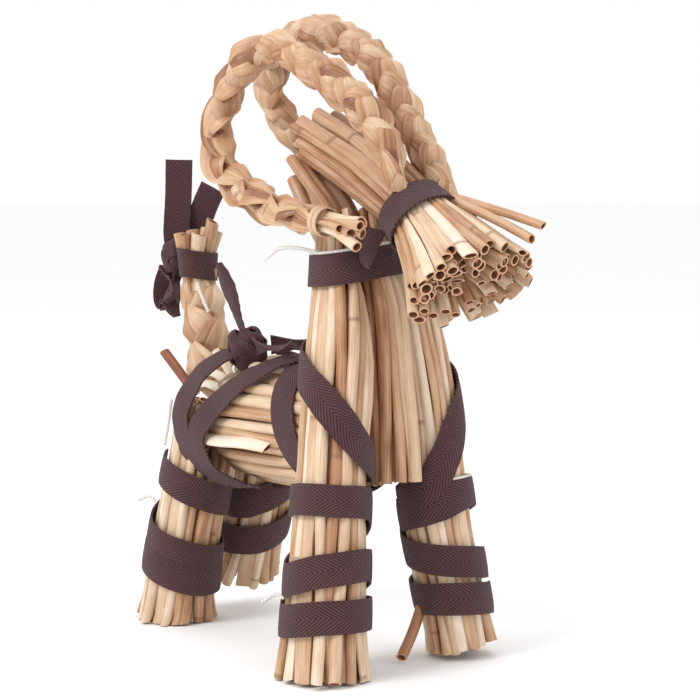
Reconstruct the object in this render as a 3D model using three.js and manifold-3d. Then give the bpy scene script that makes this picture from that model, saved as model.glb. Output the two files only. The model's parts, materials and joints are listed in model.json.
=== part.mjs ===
// Straw yule goat: bundles of cut straw and three straw plaits, bound with string and cotton tape.
// Millimetres. +X points to the muzzle, +Y to the goat's left side, +Z up.
// The sizes are given from a working origin on the ground, midway between the front feet. The last
// lines shift the whole group so that its origin is the bottom centre of its own box.

import * as THREE from "three";
import { mergeVertices } from "three/addons/utils/BufferGeometryUtils.js";
import Module from "manifold-3d";

const wasm = await Module();
wasm.setup();

// ---------------------------------------------------------------- driving sizes

const GAP = 0.4; // clearance between pieces that touch on the real goat
const TAPE_WIDTH = 12; // cotton tape
const TAPE_THICKNESS = 0.9;
const STRING_DIAMETER = 1.4; // white binding string
const THREAD_DIAMETER = 1; // thin thread round the horn tips
const STRAW_DIAMETER = 4.4; // one loose straw
const PLAIT_WIDTH = 13.6; // horn plait, seen flat
const PLAIT_THICKNESS = 9.6;
const TAIL_WIDTH = 19;
const TAIL_THICKNESS = 12;
const TAIL_TIE_HEIGHT = 154;

const LEG_RADIUS = 15;
const FOOT_FLARE = 2.6; // the front right foot spreads by this much, the rear feet by less
const FRONT_FOOT_Y = 34; // half the distance between the front feet
const REAR_FOOT_Y = 18.5;
const REAR_FOOT_X = -127; // behind the front feet
const REAR_LEFT_SET_BACK = 11; // the rear left foot stands further back
const REAR_LEFT_LIFT = 18; // and its straws are cut shorter

const BODY_RADIUS = 26.5;
const BODY_HEIGHT = 91; // the body's axis above the ground
const BODY_FRONT_X = -18;
const BODY_REAR_X = -91;

const CROTCH_HEIGHT = 71; // the chest straws are cut off here, between the front legs
const NECK_HEIGHT = 157;
const NECK_X = -19;
const NECK_Y = 1.5; // the neck and head sit a little to the goat's left
const CHEST_TOP = 178;

const HEAD_BACK_X = -50;
const HEAD_BACK_HEIGHT = 209;
const BROW_X = 14; // where the head is tied
const BROW_HEIGHT = 177;
const MUZZLE_X = 43;
const MUZZLE_HEIGHT = 153;
const HEAD_HALF_WIDTH = 15.5;
const HEAD_HALF_DEPTH = 11;
const MUZZLE_HALF_WIDTH = 27;
const MUZZLE_HALF_DEPTH = 19.5;

const STRAW = { color: 0xd9b27c, roughness: 0.5, metalness: 0 };
const TAPE = { color: 0x43323a, roughness: 0.9, metalness: 0 };
const STRING = { color: 0xdcd8d0, roughness: 0.8, metalness: 0 };

// ---------------------------------------------------------------- solids

const radians = THREE.MathUtils.degToRad;
const vector = (p) => new THREE.Vector3(...p);

// A closed three.js geometry as a manifold-3d solid.
function solidOf(geometry) {
  const bare = new THREE.BufferGeometry();
  bare.setAttribute("position", geometry.getAttribute("position"));
  if (geometry.index) bare.setIndex(geometry.index);
  const merged = mergeVertices(bare, 1e-4);
  return new wasm.Manifold(
    new wasm.Mesh({
      numProp: 3,
      vertProperties: merged.getAttribute("position").array,
      triVerts: new Uint32Array(merged.index.array),
    }),
  );
}

function geometryOf(solid) {
  const mesh = solid.getMesh();
  return new THREE.BufferGeometry()
    .setAttribute("position", new THREE.BufferAttribute(mesh.vertProperties, 3))
    .setIndex(new THREE.BufferAttribute(mesh.triVerts, 1));
}

// Moves every vertex of a geometry to the point that place(vertex) gives.
function reshape(geometry, place) {
  const position = geometry.getAttribute("position");
  const vertex = new THREE.Vector3();
  for (let i = 0; i < position.count; i++) {
    vertex.fromBufferAttribute(position, i);
    const p = place(vertex);
    position.setXYZ(i, p.x, p.y, p.z);
  }
  return geometry;
}

const clearOf = (solid, ...others) => others.reduce((left, other) => left.subtract(other), solid);

// ---------------------------------------------------------------- bundles

// The outside of a bundle or plait. Each station is [x, y, z, half width, half depth]: the width runs
// across the goat, and the depth at right angles to it and to the bundle. point(t, angle, offset) is
// on the outside at share t of the length, turned by angle from the depth to the goat's left.
class Skin {
  constructor(stations) {
    this.axis = new THREE.CatmullRomCurve3(stations.map(([x, y, z]) => vector([x, y, z])));
    this.halves = new THREE.CatmullRomCurve3(stations.map(([, , , w, d]) => vector([w, d, 0])));
  }

  frame(t) {
    const along = this.axis.getTangent(t);
    const side = vector([0, 1, 0]).addScaledVector(along, -along.y).normalize();
    return { centre: this.axis.getPoint(t), along, side, deep: side.clone().cross(along) };
  }

  point(t, angle, offset = 0) {
    const { centre, side, deep } = this.frame(t);
    const half = this.halves.getPoint(t);
    return centre
      .addScaledVector(deep, (half.y + offset) * Math.cos(angle))
      .addScaledVector(side, (half.x + offset) * Math.sin(angle));
  }

  // The share of the length at which the axis reaches a value of x or z, which grows all the way.
  shareAt(component, value) {
    let low = 0;
    let high = 1;
    for (let i = 0; i < 24; i++) {
      const middle = (low + high) / 2;
      if (this.axis.getPoint(middle)[component] < value) low = middle;
      else high = middle;
    }
    return (low + high) / 2;
  }

  // The closed solid, made grow larger all round so that a neighbour can be cut to clear it.
  solid(grow = 0, sides = 20, steps = 10) {
    const unit = new THREE.CylinderGeometry(1, 1, 1, sides, steps);
    return solidOf(
      reshape(unit, (v) => {
        const t = v.y + 0.5;
        const { centre, along, side, deep } = this.frame(t);
        const half = this.halves.getPoint(t);
        const end = t < 0.001 ? -grow : t > 0.999 ? grow : 0;
        return centre
          .addScaledVector(deep, (half.y + grow) * v.z)
          .addScaledVector(side, (half.x + grow) * v.x)
          .addScaledVector(along, end);
      }),
    );
  }
}

// ---------------------------------------------------------------- tape

// Tape wound on an upright bundle through stops of [degrees from the front to the left, height].
function woundTape(skin, stops, steps, strips = 1, offset = GAP + 0.25) {
  const curve = new THREE.CatmullRomCurve3(stops.map(([turn, z]) => vector([turn, z, 0])));
  return solidOf(
    reshape(new THREE.BoxGeometry(1, 1, 1, steps, strips, 1), (v) => {
      const s = v.x + 0.5;
      const { x: turn, y: height } = curve.getPoint(s);
      const slope = curve.getTangent(s);
      const radius = skin.halves.getPoint(skin.shareAt("z", height)).x;
      const run = new THREE.Vector2(radians(slope.x) * radius, slope.y).normalize();
      const across = v.y * TAPE_WIDTH;
      const angle = radians(turn) - (across * run.y) / radius;
      const rise = v.z > 0 ? TAPE_THICKNESS : 0;
      return skin.point(skin.shareAt("z", height + across * run.x), angle, offset + rise);
    }),
  );
}

// Tape laid through points. Its outer face looks away from the line from coreStart to coreEnd.
function laidTape(points, coreStart, coreEnd, width = TAPE_WIDTH, steps = 16) {
  const curve = new THREE.CatmullRomCurve3(points);
  const core = new THREE.Line3(vector(coreStart), vector(coreEnd));
  return solidOf(
    reshape(new THREE.BoxGeometry(1, 1, 1, steps, 1, 1), (v) => {
      const point = curve.getPoint(v.x + 0.5);
      const run = curve.getTangent(v.x + 0.5);
      const facing = point.clone().sub(core.closestPointToPoint(point, true, vector([0, 0, 0])));
      facing.addScaledVector(run, -facing.dot(run)).normalize();
      const across = facing.clone().cross(run);
      return point
        .addScaledVector(across, Math.sign(v.y) * (width / 2))
        .addScaledVector(facing, v.z > 0 ? TAPE_THICKNESS : 0);
    }),
  );
}

// The outline that a tape takes when it is pulled tight round bundles, in the plane through origin
// at right angles to normal: the convex outline of all their sections.
function tautOutline(skins, origin, normal, offset = GAP + 0.5) {
  const side = vector([0, 1, 0]).addScaledVector(normal, -normal.y).normalize();
  const front = side.clone().cross(normal);
  const flat = [];
  for (const skin of skins) {
    for (let angle = 0; angle < 2 * Math.PI; angle += Math.PI / 18) {
      let low = 0;
      let high = 1;
      for (let i = 0; i < 20; i++) {
        const middle = (low + high) / 2;
        if (skin.point(middle, angle, offset).sub(origin).dot(normal) < 0) low = middle;
        else high = middle;
      }
      const p = skin.point(low, angle, offset).sub(origin);
      flat.push([p.dot(side), -p.dot(front)]);
    }
  }
  // Andrew's monotone chain, counter-clockwise from the outermost point on the goat's right.
  flat.sort((a, b) => a[0] - b[0] || a[1] - b[1]);
  const turns = (a, b, c) => (b[0] - a[0]) * (c[1] - a[1]) - (b[1] - a[1]) * (c[0] - a[0]);
  const chain = (points) => {
    const kept = [];
    for (const p of points) {
      while (kept.length > 1 && turns(kept.at(-2), kept.at(-1), p) <= 0) kept.pop();
      kept.push(p);
    }
    return kept.slice(0, -1);
  };
  const hull = [...chain(flat), ...chain(flat.reverse())];
  const corners = hull.map(([u, w]) => {
    return origin.clone().addScaledVector(side, u).addScaledVector(front, -w);
  });
  return new THREE.CatmullRomCurve3(corners, true, "centripetal");
}

// A closed hoop between two outlines in parallel planes. section(share of the way round the section)
// gives [outwards, share of the way from the lower outline to the upper one, beyond it].
function hoop([lower, upper], normal, section, sides, steps) {
  return solidOf(
    reshape(new THREE.TorusGeometry(2, 1, sides, steps), (v) => {
      const s = (Math.atan2(v.y, v.x) / (2 * Math.PI) + 1) % 1;
      const turn = Math.atan2(v.z, Math.hypot(v.x, v.y) - 2) / (2 * Math.PI);
      const [out, share, beyond] = section((turn + 1) % 1);
      const outward = lower.getTangentAt(s).cross(normal).normalize();
      return lower
        .getPointAt(s)
        .lerp(upper.getPointAt(s), share)
        .addScaledVector(outward, out)
        .addScaledVector(normal, beyond);
    }),
  );
}

// A hoop of tape pulled tight round bundles, in the plane through origin at right angles to normal.
function tapeHoop(skins, origin, normal, grow = 0) {
  const outlines = [-1, 1].map((side) => {
    return tautOutline(skins, origin.clone().addScaledVector(normal, (side * TAPE_WIDTH) / 2), normal);
  });
  const corner = (turn) => {
    const index = Math.round(turn * 4) % 4;
    const upper = index === 1 || index === 2;
    return [index < 2 ? TAPE_THICKNESS + grow : -grow, upper ? 1 : 0, upper ? grow : -grow];
  };
  return hoop(outlines, normal, corner, 4, 40);
}

function stringHoop(skins, origin, normal, diameter) {
  const outline = tautOutline(skins, origin, normal);
  const section = (turn) => {
    const angle = 2 * Math.PI * turn;
    return [(diameter / 2) * (1 + Math.cos(angle)), 0, (diameter / 2) * Math.sin(angle)];
  };
  return hoop([outline, outline], normal, section, 5, 30);
}

// ---------------------------------------------------------------- string, straws and knots

function tube(points, diameter, sides = 3, steps = 6) {
  const section = new THREE.Shape();
  section.absarc(0, 0, diameter / 2, 0, 2 * Math.PI);
  const extrudePath = new THREE.CatmullRomCurve3(points);
  return solidOf(new THREE.ExtrudeGeometry(section, { steps, curveSegments: sides, extrudePath }));
}

function knot(centre, halves) {
  return solidOf(new THREE.SphereGeometry(1, 14, 8).scale(...halves).translate(...centre));
}

// ---------------------------------------------------------------- the straw bundles

const leg = (x, y, z, spread = 0) => [x, y, z, LEG_RADIUS + spread, LEG_RADIUS + spread];
const NECK_HALF_DEPTH = 11.8;

const frontRight = new Skin([
  leg(1, -FRONT_FOOT_Y - 0.6, -4, FOOT_FLARE),
  leg(-1, -FRONT_FOOT_Y + 1.6, 20, 0.8),
  leg(-3.5, -FRONT_FOOT_Y + 4.6, 42, 0.3),
  leg(-6.5, -FRONT_FOOT_Y + 8.4, 64, -0.4),
  [-10, -21.5, 89, LEG_RADIUS - 0.8, LEG_RADIUS - 0.4],
  [-13, -16.5, 115, LEG_RADIUS - 1.2, LEG_RADIUS - 1],
  [-16, NECK_Y - 15.5, 138, 12, LEG_RADIUS - 1.8],
  [NECK_X, NECK_Y - 15.1, NECK_HEIGHT, 7.3, NECK_HALF_DEPTH],
  [NECK_X - 4, NECK_Y - 13, CHEST_TOP, 6.2, NECK_HALF_DEPTH - 2.2],
]);

// This leg leans outwards, and its straws are cut square to it.
const frontLeft = new Skin([
  leg(2.4, FRONT_FOOT_Y, 2.4, -2.2),
  leg(0.6, FRONT_FOOT_Y - 2.6, 20, -1.4),
  leg(-2.6, FRONT_FOOT_Y - 5, 42, -0.7),
  leg(-6, FRONT_FOOT_Y - 7.2, 64, -0.6),
  [-10, 27, 89, LEG_RADIUS - 2.4, LEG_RADIUS - 0.4],
  [-13, 25, 115, LEG_RADIUS - 3.6, LEG_RADIUS - 1],
  [-16, NECK_Y + 21, 138, 10.6, LEG_RADIUS - 1.8],
  [NECK_X, NECK_Y + 15.1, NECK_HEIGHT, 7.3, NECK_HALF_DEPTH],
  [NECK_X - 4, NECK_Y + 13, CHEST_TOP, 6.2, NECK_HALF_DEPTH - 2.2],
]);

const chest = new Skin([
  [-8.5, 5, CROTCH_HEIGHT, 12, LEG_RADIUS - 1],
  [-11.5, 5, 100, 12, LEG_RADIUS - 1],
  [-16, 5, 138, 11, LEG_RADIUS - 1.6],
  [NECK_X, NECK_Y, NECK_HEIGHT, 8, NECK_HALF_DEPTH],
  [NECK_X - 4, NECK_Y, CHEST_TOP, 7.4, NECK_HALF_DEPTH - 2.2],
]);

const rearRight = new Skin([
  leg(REAR_FOOT_X - 1, -REAR_FOOT_Y, -4, 1.8),
  leg(REAR_FOOT_X + 4, -REAR_FOOT_Y, 20, 0.4),
  leg(REAR_FOOT_X + 10, -REAR_FOOT_Y + 0.5, 46, -0.2),
  leg(REAR_FOOT_X + 17, -REAR_FOOT_Y + 2.5, 76, -0.8),
  leg(REAR_FOOT_X + 20, -REAR_FOOT_Y + 4.5, 110, -2.4),
]);

const rearLeft = new Skin([
  leg(REAR_FOOT_X - REAR_LEFT_SET_BACK, REAR_FOOT_Y + 6, REAR_LEFT_LIFT, 1),
  leg(REAR_FOOT_X - 4, REAR_FOOT_Y + 3.5, 24, 0),
  leg(REAR_FOOT_X + 7, REAR_FOOT_Y + 1, 48, -0.2),
  leg(REAR_FOOT_X + 17, REAR_FOOT_Y - 1.5, 76, -0.8),
  leg(REAR_FOOT_X + 20, REAR_FOOT_Y - 4.5, 110, -2.4),
]);

const round = (x, share) => [x, 0, BODY_HEIGHT, BODY_RADIUS * share, BODY_RADIUS * share];
const body = new Skin([
  round(BODY_REAR_X, 0.62),
  round(BODY_REAR_X + 6, 0.92),
  round(BODY_REAR_X + 20, 1),
  round(BODY_FRONT_X - 28, 1),
  round(BODY_FRONT_X - 10, 0.94),
  round(BODY_FRONT_X, 0.9),
]);

const head = new Skin([
  [HEAD_BACK_X, NECK_Y, HEAD_BACK_HEIGHT, HEAD_HALF_WIDTH + 0.5, HEAD_HALF_DEPTH + 1.4],
  [-22, NECK_Y, 197, HEAD_HALF_WIDTH + 0.5, HEAD_HALF_DEPTH + 1],
  [-4, NECK_Y, 187.6, HEAD_HALF_WIDTH, HEAD_HALF_DEPTH + 0.4],
  [BROW_X, NECK_Y, BROW_HEIGHT, HEAD_HALF_WIDTH - 0.6, HEAD_HALF_DEPTH],
  [28.5, NECK_Y, 166, MUZZLE_HALF_WIDTH * 0.76, MUZZLE_HALF_DEPTH * 0.76],
  [MUZZLE_X, NECK_Y, MUZZLE_HEIGHT, MUZZLE_HALF_WIDTH, MUZZLE_HALF_DEPTH],
]);

// ---------------------------------------------------------------- the plaits

const plait = (points) => {
  const halves = [PLAIT_WIDTH / 2, PLAIT_THICKNESS / 2];
  return new Skin(points.map((p) => [...p, ...halves]));
};

const rightHorn = plait([
  [17, -8.5, 190], [14, -9.5, 200], [6.5, -11, 210], [0, -13, 217.5], [-12, -15, 225.5],
  [-26, -17, 234], [-43, -20, 241.5], [-56, -21.5, 242.5], [-67.5, -24, 236], [-75.5, -26.5, 224],
  [-79, -28.5, 210], [-75, -30, 199], [-63, -30.5, 189.5], [-46, -30.5, 182], [-30, -30.5, 178],
  [-16, -30, 176], [-5, -29.5, 174.6],
]);
const leftHorn = plait([
  [13, 14, 191.5], [4, 14.5, 200.5], [-5.5, 14.5, 211.5], [-13, 14, 223], [-21, 13, 232.5],
  [-32, 12, 241], [-45, 11, 248], [-56, 10, 251], [-70, 9, 250.5], [-83, 8.5, 246.5],
  [-92, 8, 237], [-91.5, 9, 225], [-88.5, 13, 214], [-82, 19, 204.5], [-69, 26, 194],
  [-50, 31, 185.5], [-28, 33.5, 179.5], [-14, 33.5, 176.8], [-5, 33, 175.4],
]);

// The cut ends beyond the thread that ties a plait: narrow at the thread, then spreading.
const tip = (x, y, z, spreadY) => {
  return new Skin([
    [x, y, z, 5, 4.4],
    [x + 9, y + spreadY / 2, z - 1.6, 5.6, 5],
    [x + 23, y + spreadY, z - 5, 7.6, 7],
  ]);
};
const rightTip = tip(-4.2, -29.3, 174.4, 2.5);
const leftTip = tip(-4.2, 33, 175.2, -1);

const TIE_BOTTOM = TAIL_TIE_HEIGHT - TAPE_WIDTH / 2;
const TAIL_X = REAR_FOOT_X - 9; // the tail leans back to here
const tail = new Skin([
  [TAIL_X + 10.5, 0, 102, TAIL_WIDTH / 2, TAIL_THICKNESS / 2],
  [TAIL_X + 8, 0, 120, TAIL_WIDTH / 2, TAIL_THICKNESS / 2],
  [TAIL_X + 3.5, 0, 136, TAIL_WIDTH / 2, TAIL_THICKNESS / 2],
  [TAIL_X + 1, 0, TIE_BOTTOM - 2 * GAP, TAIL_WIDTH / 2 - 1, TAIL_THICKNESS / 2],
]);
const tailTip = new Skin([
  [TAIL_X + 0.8, 0, TIE_BOTTOM + GAP, TAIL_WIDTH / 2 - 1, TAIL_THICKNESS / 2 + 0.6],
  [TAIL_X, 0, TAIL_TIE_HEIGHT + TAPE_WIDTH / 2, TAIL_WIDTH / 2 - 0.6, TAIL_THICKNESS / 2 + 1],
  [TAIL_X + 0.5, 0, 173.5, TAIL_WIDTH / 2 + 1.5, TAIL_THICKNESS / 2 + 2.6],
]);

// ---------------------------------------------------------------- straw

const goat = new THREE.Group();

function addPiece(name, solid, finish) {
  const mesh = new THREE.Mesh(geometryOf(solid), new THREE.MeshStandardMaterial(finish));
  mesh.name = name;
  goat.add(mesh);
}

// Everything below the ground, to cut the two flat feet level.
const ground = solidOf(new THREE.BoxGeometry(600, 600, 100).translate(0, 0, -50));

const headGrown = head.solid(GAP);
const frontRightGrown = frontRight.solid(GAP);
const frontLeftGrown = frontLeft.solid(GAP);
const chestGrown = chest.solid(GAP);
const rearRightGrown = rearRight.solid(GAP);
const rearLeftGrown = rearLeft.solid(GAP);
const bodyGrown = body.solid(GAP);

addPiece("front_right_leg_bundle", clearOf(frontRight.solid(), ground, headGrown), STRAW);
addPiece("front_left_leg_bundle", clearOf(frontLeft.solid(), headGrown), STRAW);
addPiece("chest_bundle", clearOf(chest.solid(), headGrown, frontRightGrown, frontLeftGrown), STRAW);
addPiece("rear_right_leg_bundle", clearOf(rearRight.solid(), ground), STRAW);
addPiece("rear_left_leg_bundle", clearOf(rearLeft.solid(), rearRightGrown), STRAW);
const legsGrown = [frontRightGrown, frontLeftGrown, chestGrown, rearRightGrown, rearLeftGrown];
addPiece("body_bundle", clearOf(body.solid(), ...legsGrown), STRAW);
addPiece("head_bundle", head.solid(), STRAW);

const brow = vector([BROW_X, NECK_Y, BROW_HEIGHT]);
const browTilt = head.axis.getTangent(head.shareAt("x", BROW_X)).setY(0.14).normalize();
addPiece("head_ribbon", tapeHoop([head], brow, browTilt), TAPE);
const headRibbonGrown = tapeHoop([head], brow, browTilt, GAP);

addPiece("right_horn_plait", clearOf(rightHorn.solid(0, 8, 34), headGrown, headRibbonGrown), STRAW);
addPiece("left_horn_plait", clearOf(leftHorn.solid(0, 8, 38), headGrown, headRibbonGrown), STRAW);
addPiece("right_horn_tip_straws", rightTip.solid(0, 12, 4), STRAW);
addPiece("left_horn_tip_straws", leftTip.solid(0, 12, 4), STRAW);
addPiece(
  "tail_plait",
  clearOf(tail.solid(0, 12, 10), rearRightGrown, rearLeftGrown, bodyGrown),
  STRAW,
);
addPiece("tail_tip_straws", tailTip.solid(0, 14, 4), STRAW);

// Loose straws that stick out.
const strayStraw = (points) => tube(points.map(vector), STRAW_DIAMETER, 8, 4);
addPiece("rump_stray_straw", strayStraw([[-144, -12.6, 115.5], [-133, -12.6, 108], [-123.5, -12.6, 101.5]]), STRAW);
addPiece("foot_stray_straw", strayStraw([[1.5, 3.5, 2.8], [-1, 10.5, 10], [-2.5, 15.4, 17]]), STRAW);
addPiece("muzzle_stray_straw", strayStraw([[31, 20, 184], [43, 21.5, 181], [55, 23, 177]]), STRAW);

// ---------------------------------------------------------------- tape

const at = (skin, component, value, turn, offset) => {
  return skin.point(skin.shareAt(component, value), radians(turn), offset);
};

// Each leg's tape goes three times round, in a spiral that is tighter near the foot.
const legTapes = {
  front_right_leg_ribbon: [frontRight, 48, [
    [-150, 66.5], [-38, 66], [50, 65], [140, 52], [232, 37],
    [322, 40.5], [410, 43], [500, 34], [592, 22.5], [682, 23.5], [770, 25.5], [815, 25.5],
  ]],
  front_left_leg_ribbon: [frontLeft, 48, [
    [-144, 58], [-48, 60], [-10, 61.5], [50, 62], [140, 55], [232, 46.5],
    [320, 40], [409, 35], [500, 31], [592, 27], [680, 25], [768, 21], [775, 21],
  ]],
  rear_right_leg_ribbon: [rearRight, 48, [
    [-150, 66.5], [-50, 62.5], [22, 58], [140, 49], [232, 38.5],
    [310, 36.5], [382, 36], [460, 35], [592, 24.5], [682, 22.5], [742, 21.5], [800, 20.5],
  ]],
  rear_left_leg_ribbon: [rearLeft, 32, [
    [60, 63.5], [6, 61.5], [-32, 57.5], [-80, 52.5], [-180, 49],
    [-270, 46], [-335, 43], [-392, 39.5], [-440, 36.5], [-500, 34],
  ]],
};
for (const [name, [skin, steps, stops]] of Object.entries(legTapes)) {
  addPiece(name, woundTape(skin, stops, steps, 2), TAPE);
}

const rightChestStops = [[54, 79.5], [9, 86], [-29, 95.5], [-68, 106], [-126, 118.5], [-168, 124]];
const leftChestStops = [[-62, 74.5], [-25, 77.5], [11, 84], [45, 92.5], [80, 102], [125, 114], [160, 121]];
addPiece("right_chest_strap", clearOf(woundTape(frontRight, rightChestStops, 18, 3), chestGrown), TAPE);
addPiece("left_chest_strap", clearOf(woundTape(frontLeft, leftChestStops, 18, 3), chestGrown), TAPE);

const upright = vector([0, 0, 1]);
const neckOrigin = vector([NECK_X, NECK_Y, NECK_HEIGHT + 1]);
const neckSkins = [frontRight, frontLeft, chest];
const neckTilt = vector([-0.07, -0.12, 1]).normalize(); // the band rises to the front and left
addPiece("neck_ribbon", tapeHoop(neckSkins, neckOrigin, neckTilt), TAPE);

const girthOrigin = vector([BODY_FRONT_X - 17, 0, BODY_HEIGHT]);
const girthTilt = vector([Math.cos(radians(22)), 0, Math.sin(radians(22))]);
const girth = tapeHoop([body], girthOrigin, girthTilt);
addPiece("girth_ribbon", clearOf(girth, frontRightGrown, frontLeftGrown, chestGrown), TAPE);

// The straps round the rump, from the knot on the back down past the rear legs and under the body.
const bodyCore = [[REAR_FOOT_X + 24, 0, BODY_HEIGHT], [BODY_FRONT_X, 0, BODY_HEIGHT]];
const OVER = GAP + 1.2;
const backKnotAt = at(body, "x", BODY_REAR_X + 7, -160, 4);
const backKnot = (grow) => knot(backKnotAt.toArray(), [8.5 + grow, 8.5 + grow, 7 + grow]);

function rumpStrap(skin, side, low) {
  const strap = laidTape(
    [
      at(body, "x", BODY_REAR_X + 4.5, side * 152, OVER + 1.4),
      at(skin, "z", 104, side * 52, OVER),
      at(skin, "z", 91.5, side * 80, OVER),
      at(skin, "z", low + 9, side * 70, OVER),
      at(skin, "z", low, side * 32, OVER + 1),
      at(body, "x", BODY_REAR_X + 6, side * 22, OVER + 2),
    ],
    ...bodyCore,
    TAPE_WIDTH,
    24,
  );
  return clearOf(strap, rearRightGrown, rearLeftGrown, bodyGrown, backKnot(GAP));
}
addPiece("right_rump_strap", rumpStrap(rearRight, -1, 71), TAPE);
addPiece("left_rump_strap", rumpStrap(rearLeft, 1, 76), TAPE);
const crossStrap = laidTape(
  [
    at(body, "x", BODY_REAR_X + 31, -161, GAP + 0.3),
    at(body, "x", BODY_REAR_X + 25, -142, GAP + 0.3),
    at(body, "x", BODY_REAR_X + 16, -125, GAP + 0.3),
    at(body, "x", BODY_REAR_X + 7, -109, GAP + 0.8),
  ],
  ...bodyCore,
);
addPiece("right_cross_strap", clearOf(crossStrap, bodyGrown, rearRightGrown), TAPE);

// The knot on the back, its free end and the two links to the shoulders.
addPiece("back_knot", clearOf(backKnot(0), bodyGrown), TAPE);
const nearKnot = (x, y, z) => backKnotAt.clone().add(vector([x, y, z]));
const FOLDED = 6; // tape folded to half its width
addPiece(
  "back_knot_free_end",
  laidTape(
    [nearKnot(-3, 0, 8), nearKnot(-9, 0, 19), nearKnot(-20, 0, 34)],
    nearKnot(20, 0, 0).toArray(),
    nearKnot(0, 0, 40).toArray(),
    FOLDED,
    8,
  ),
  TAPE,
);
for (const [name, side, skin] of [["right_back_link", -1, frontRight], ["left_back_link", 1, frontLeft]]) {
  const shoulder = at(skin, "z", 127, side * 172, 9);
  const tied = nearKnot(11.5, side * 4 + 2, 3);
  const middle = shoulder.clone().lerp(tied, 0.5).add(vector([0, 0, -0.5]));
  addPiece(
    name,
    laidTape([shoulder, middle, tied], ...bodyCore, FOLDED, 8),
    TAPE,
  );
}

addPiece("throat_knot", knot([1.5, NECK_Y - 10, 163.5], [5, 5.5, 4]), TAPE);

// The tail's tape: a band, a knot behind it, a hanging loop and two ends that stand up.
const tieOrigin = vector([TAIL_X, 0, TAIL_TIE_HEIGHT]);
addPiece("tail_ribbon", tapeHoop([tailTip], tieOrigin, upright), TAPE);
const TAIL_KNOT_X = TAIL_X - 16;
addPiece("tail_knot", knot([TAIL_KNOT_X - 1, -1, TAIL_TIE_HEIGHT + 4], [6.5, 7, 9.5]), TAPE);
const hanging = (points, steps) => {
  const start = [TAIL_X + 30, 0, points[0][2]];
  const end = [TAIL_X + 30, 0, points.at(-1)[2]];
  return laidTape(points.map(vector), start, end, TAPE_WIDTH, steps);
};
addPiece("tail_loop", hanging([
  [TAIL_KNOT_X - 0.5, -1, 146], [TAIL_KNOT_X - 3, -1, 139], [TAIL_KNOT_X - 6, -1, 135],
  [TAIL_KNOT_X - 8.5, -1, 138], [TAIL_KNOT_X - 9.5, -1, 144],
], 12), TAPE);
addPiece("tail_long_free_end", hanging([
  [TAIL_KNOT_X + 0.5, -1, 168.5], [TAIL_KNOT_X + 0.5, 0, 184], [TAIL_KNOT_X, 1, 200],
], 6), TAPE);
addPiece("tail_short_free_end", hanging([
  [TAIL_KNOT_X + 3.5, 8, 169], [TAIL_KNOT_X + 7, 9, 178.5], [TAIL_KNOT_X + 14, 9.5, 187.5],
], 6), TAPE);

// ---------------------------------------------------------------- string

const tipTie = (skin) => {
  const t = 0.18;
  return stringHoop([skin], skin.axis.getPoint(t), skin.axis.getTangent(t), THREAD_DIAMETER);
};
addPiece("right_horn_tie", tipTie(rightTip), STRING);
addPiece("left_horn_tie", tipTie(leftTip), STRING);

// White string round the neck, just above the ribbon.
const stringAt = vector([NECK_X, NECK_Y, NECK_HEIGHT + TAPE_WIDTH / 2 + GAP + STRING_DIAMETER]);
addPiece("neck_string", stringHoop(neckSkins, stringAt, neckTilt, STRING_DIAMETER), STRING);

// Cut ends of the string under each leg's tape and round the rump.
const stringEnd = (points) => tube(points, STRING_DIAMETER, 6, 6);
const cutEnd = (skin, z, turn, reach) => {
  const start = at(skin, "z", z, turn, GAP + STRING_DIAMETER / 2);
  const middle = at(skin, "z", z + reach / 8, turn - 8, GAP + STRING_DIAMETER / 2 + reach / 3);
  return stringEnd([start, middle, at(skin, "z", z - reach / 5, turn - 12, reach)]);
};
addPiece("front_right_leg_string", cutEnd(frontRight, 29.8, -112, 9), STRING);
addPiece("front_left_leg_string", cutEnd(frontLeft, 69.5, 48, 5), STRING);
addPiece("rear_right_leg_string", cutEnd(rearRight, 51, -112, 8), STRING);
addPiece("rump_string", stringEnd([
  at(rearRight, "z", 96, -128, GAP + 1.2),
  at(rearRight, "z", 85, -131, GAP + 1.2),
  at(rearRight, "z", 76, -118, GAP + 1.4),
]), STRING);
addPiece("tail_string", stringEnd([
  vector([TAIL_X + 10, -7, 146.5]),
  vector([TAIL_X + 12.5, -6.5, 141]),
  vector([TAIL_X + 17, -6, 134]),
]), STRING);

// ---------------------------------------------------------------- the origin

const box = new THREE.Box3().setFromObject(goat);
const middle = box.getCenter(vector([0, 0, 0]));
goat.position.set(-middle.x, -middle.y, -box.min.z);

export default goat;
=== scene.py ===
# %% [markdown]
# # A yule goat of straw, tape and string
#
# The goat is made the old way: handfuls of cut wheat straw are tied into bundles for the legs, the
# body and the head, three plaits make the horns and the tail, and dark cotton tape goes round and
# round to hold it all. The CAD model has one plain solid for each of them. Here every bundle is
# filled with single straws, every plait is plaited from strands, and every ribbon becomes woven tape.

import json
import math
import random

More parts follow.
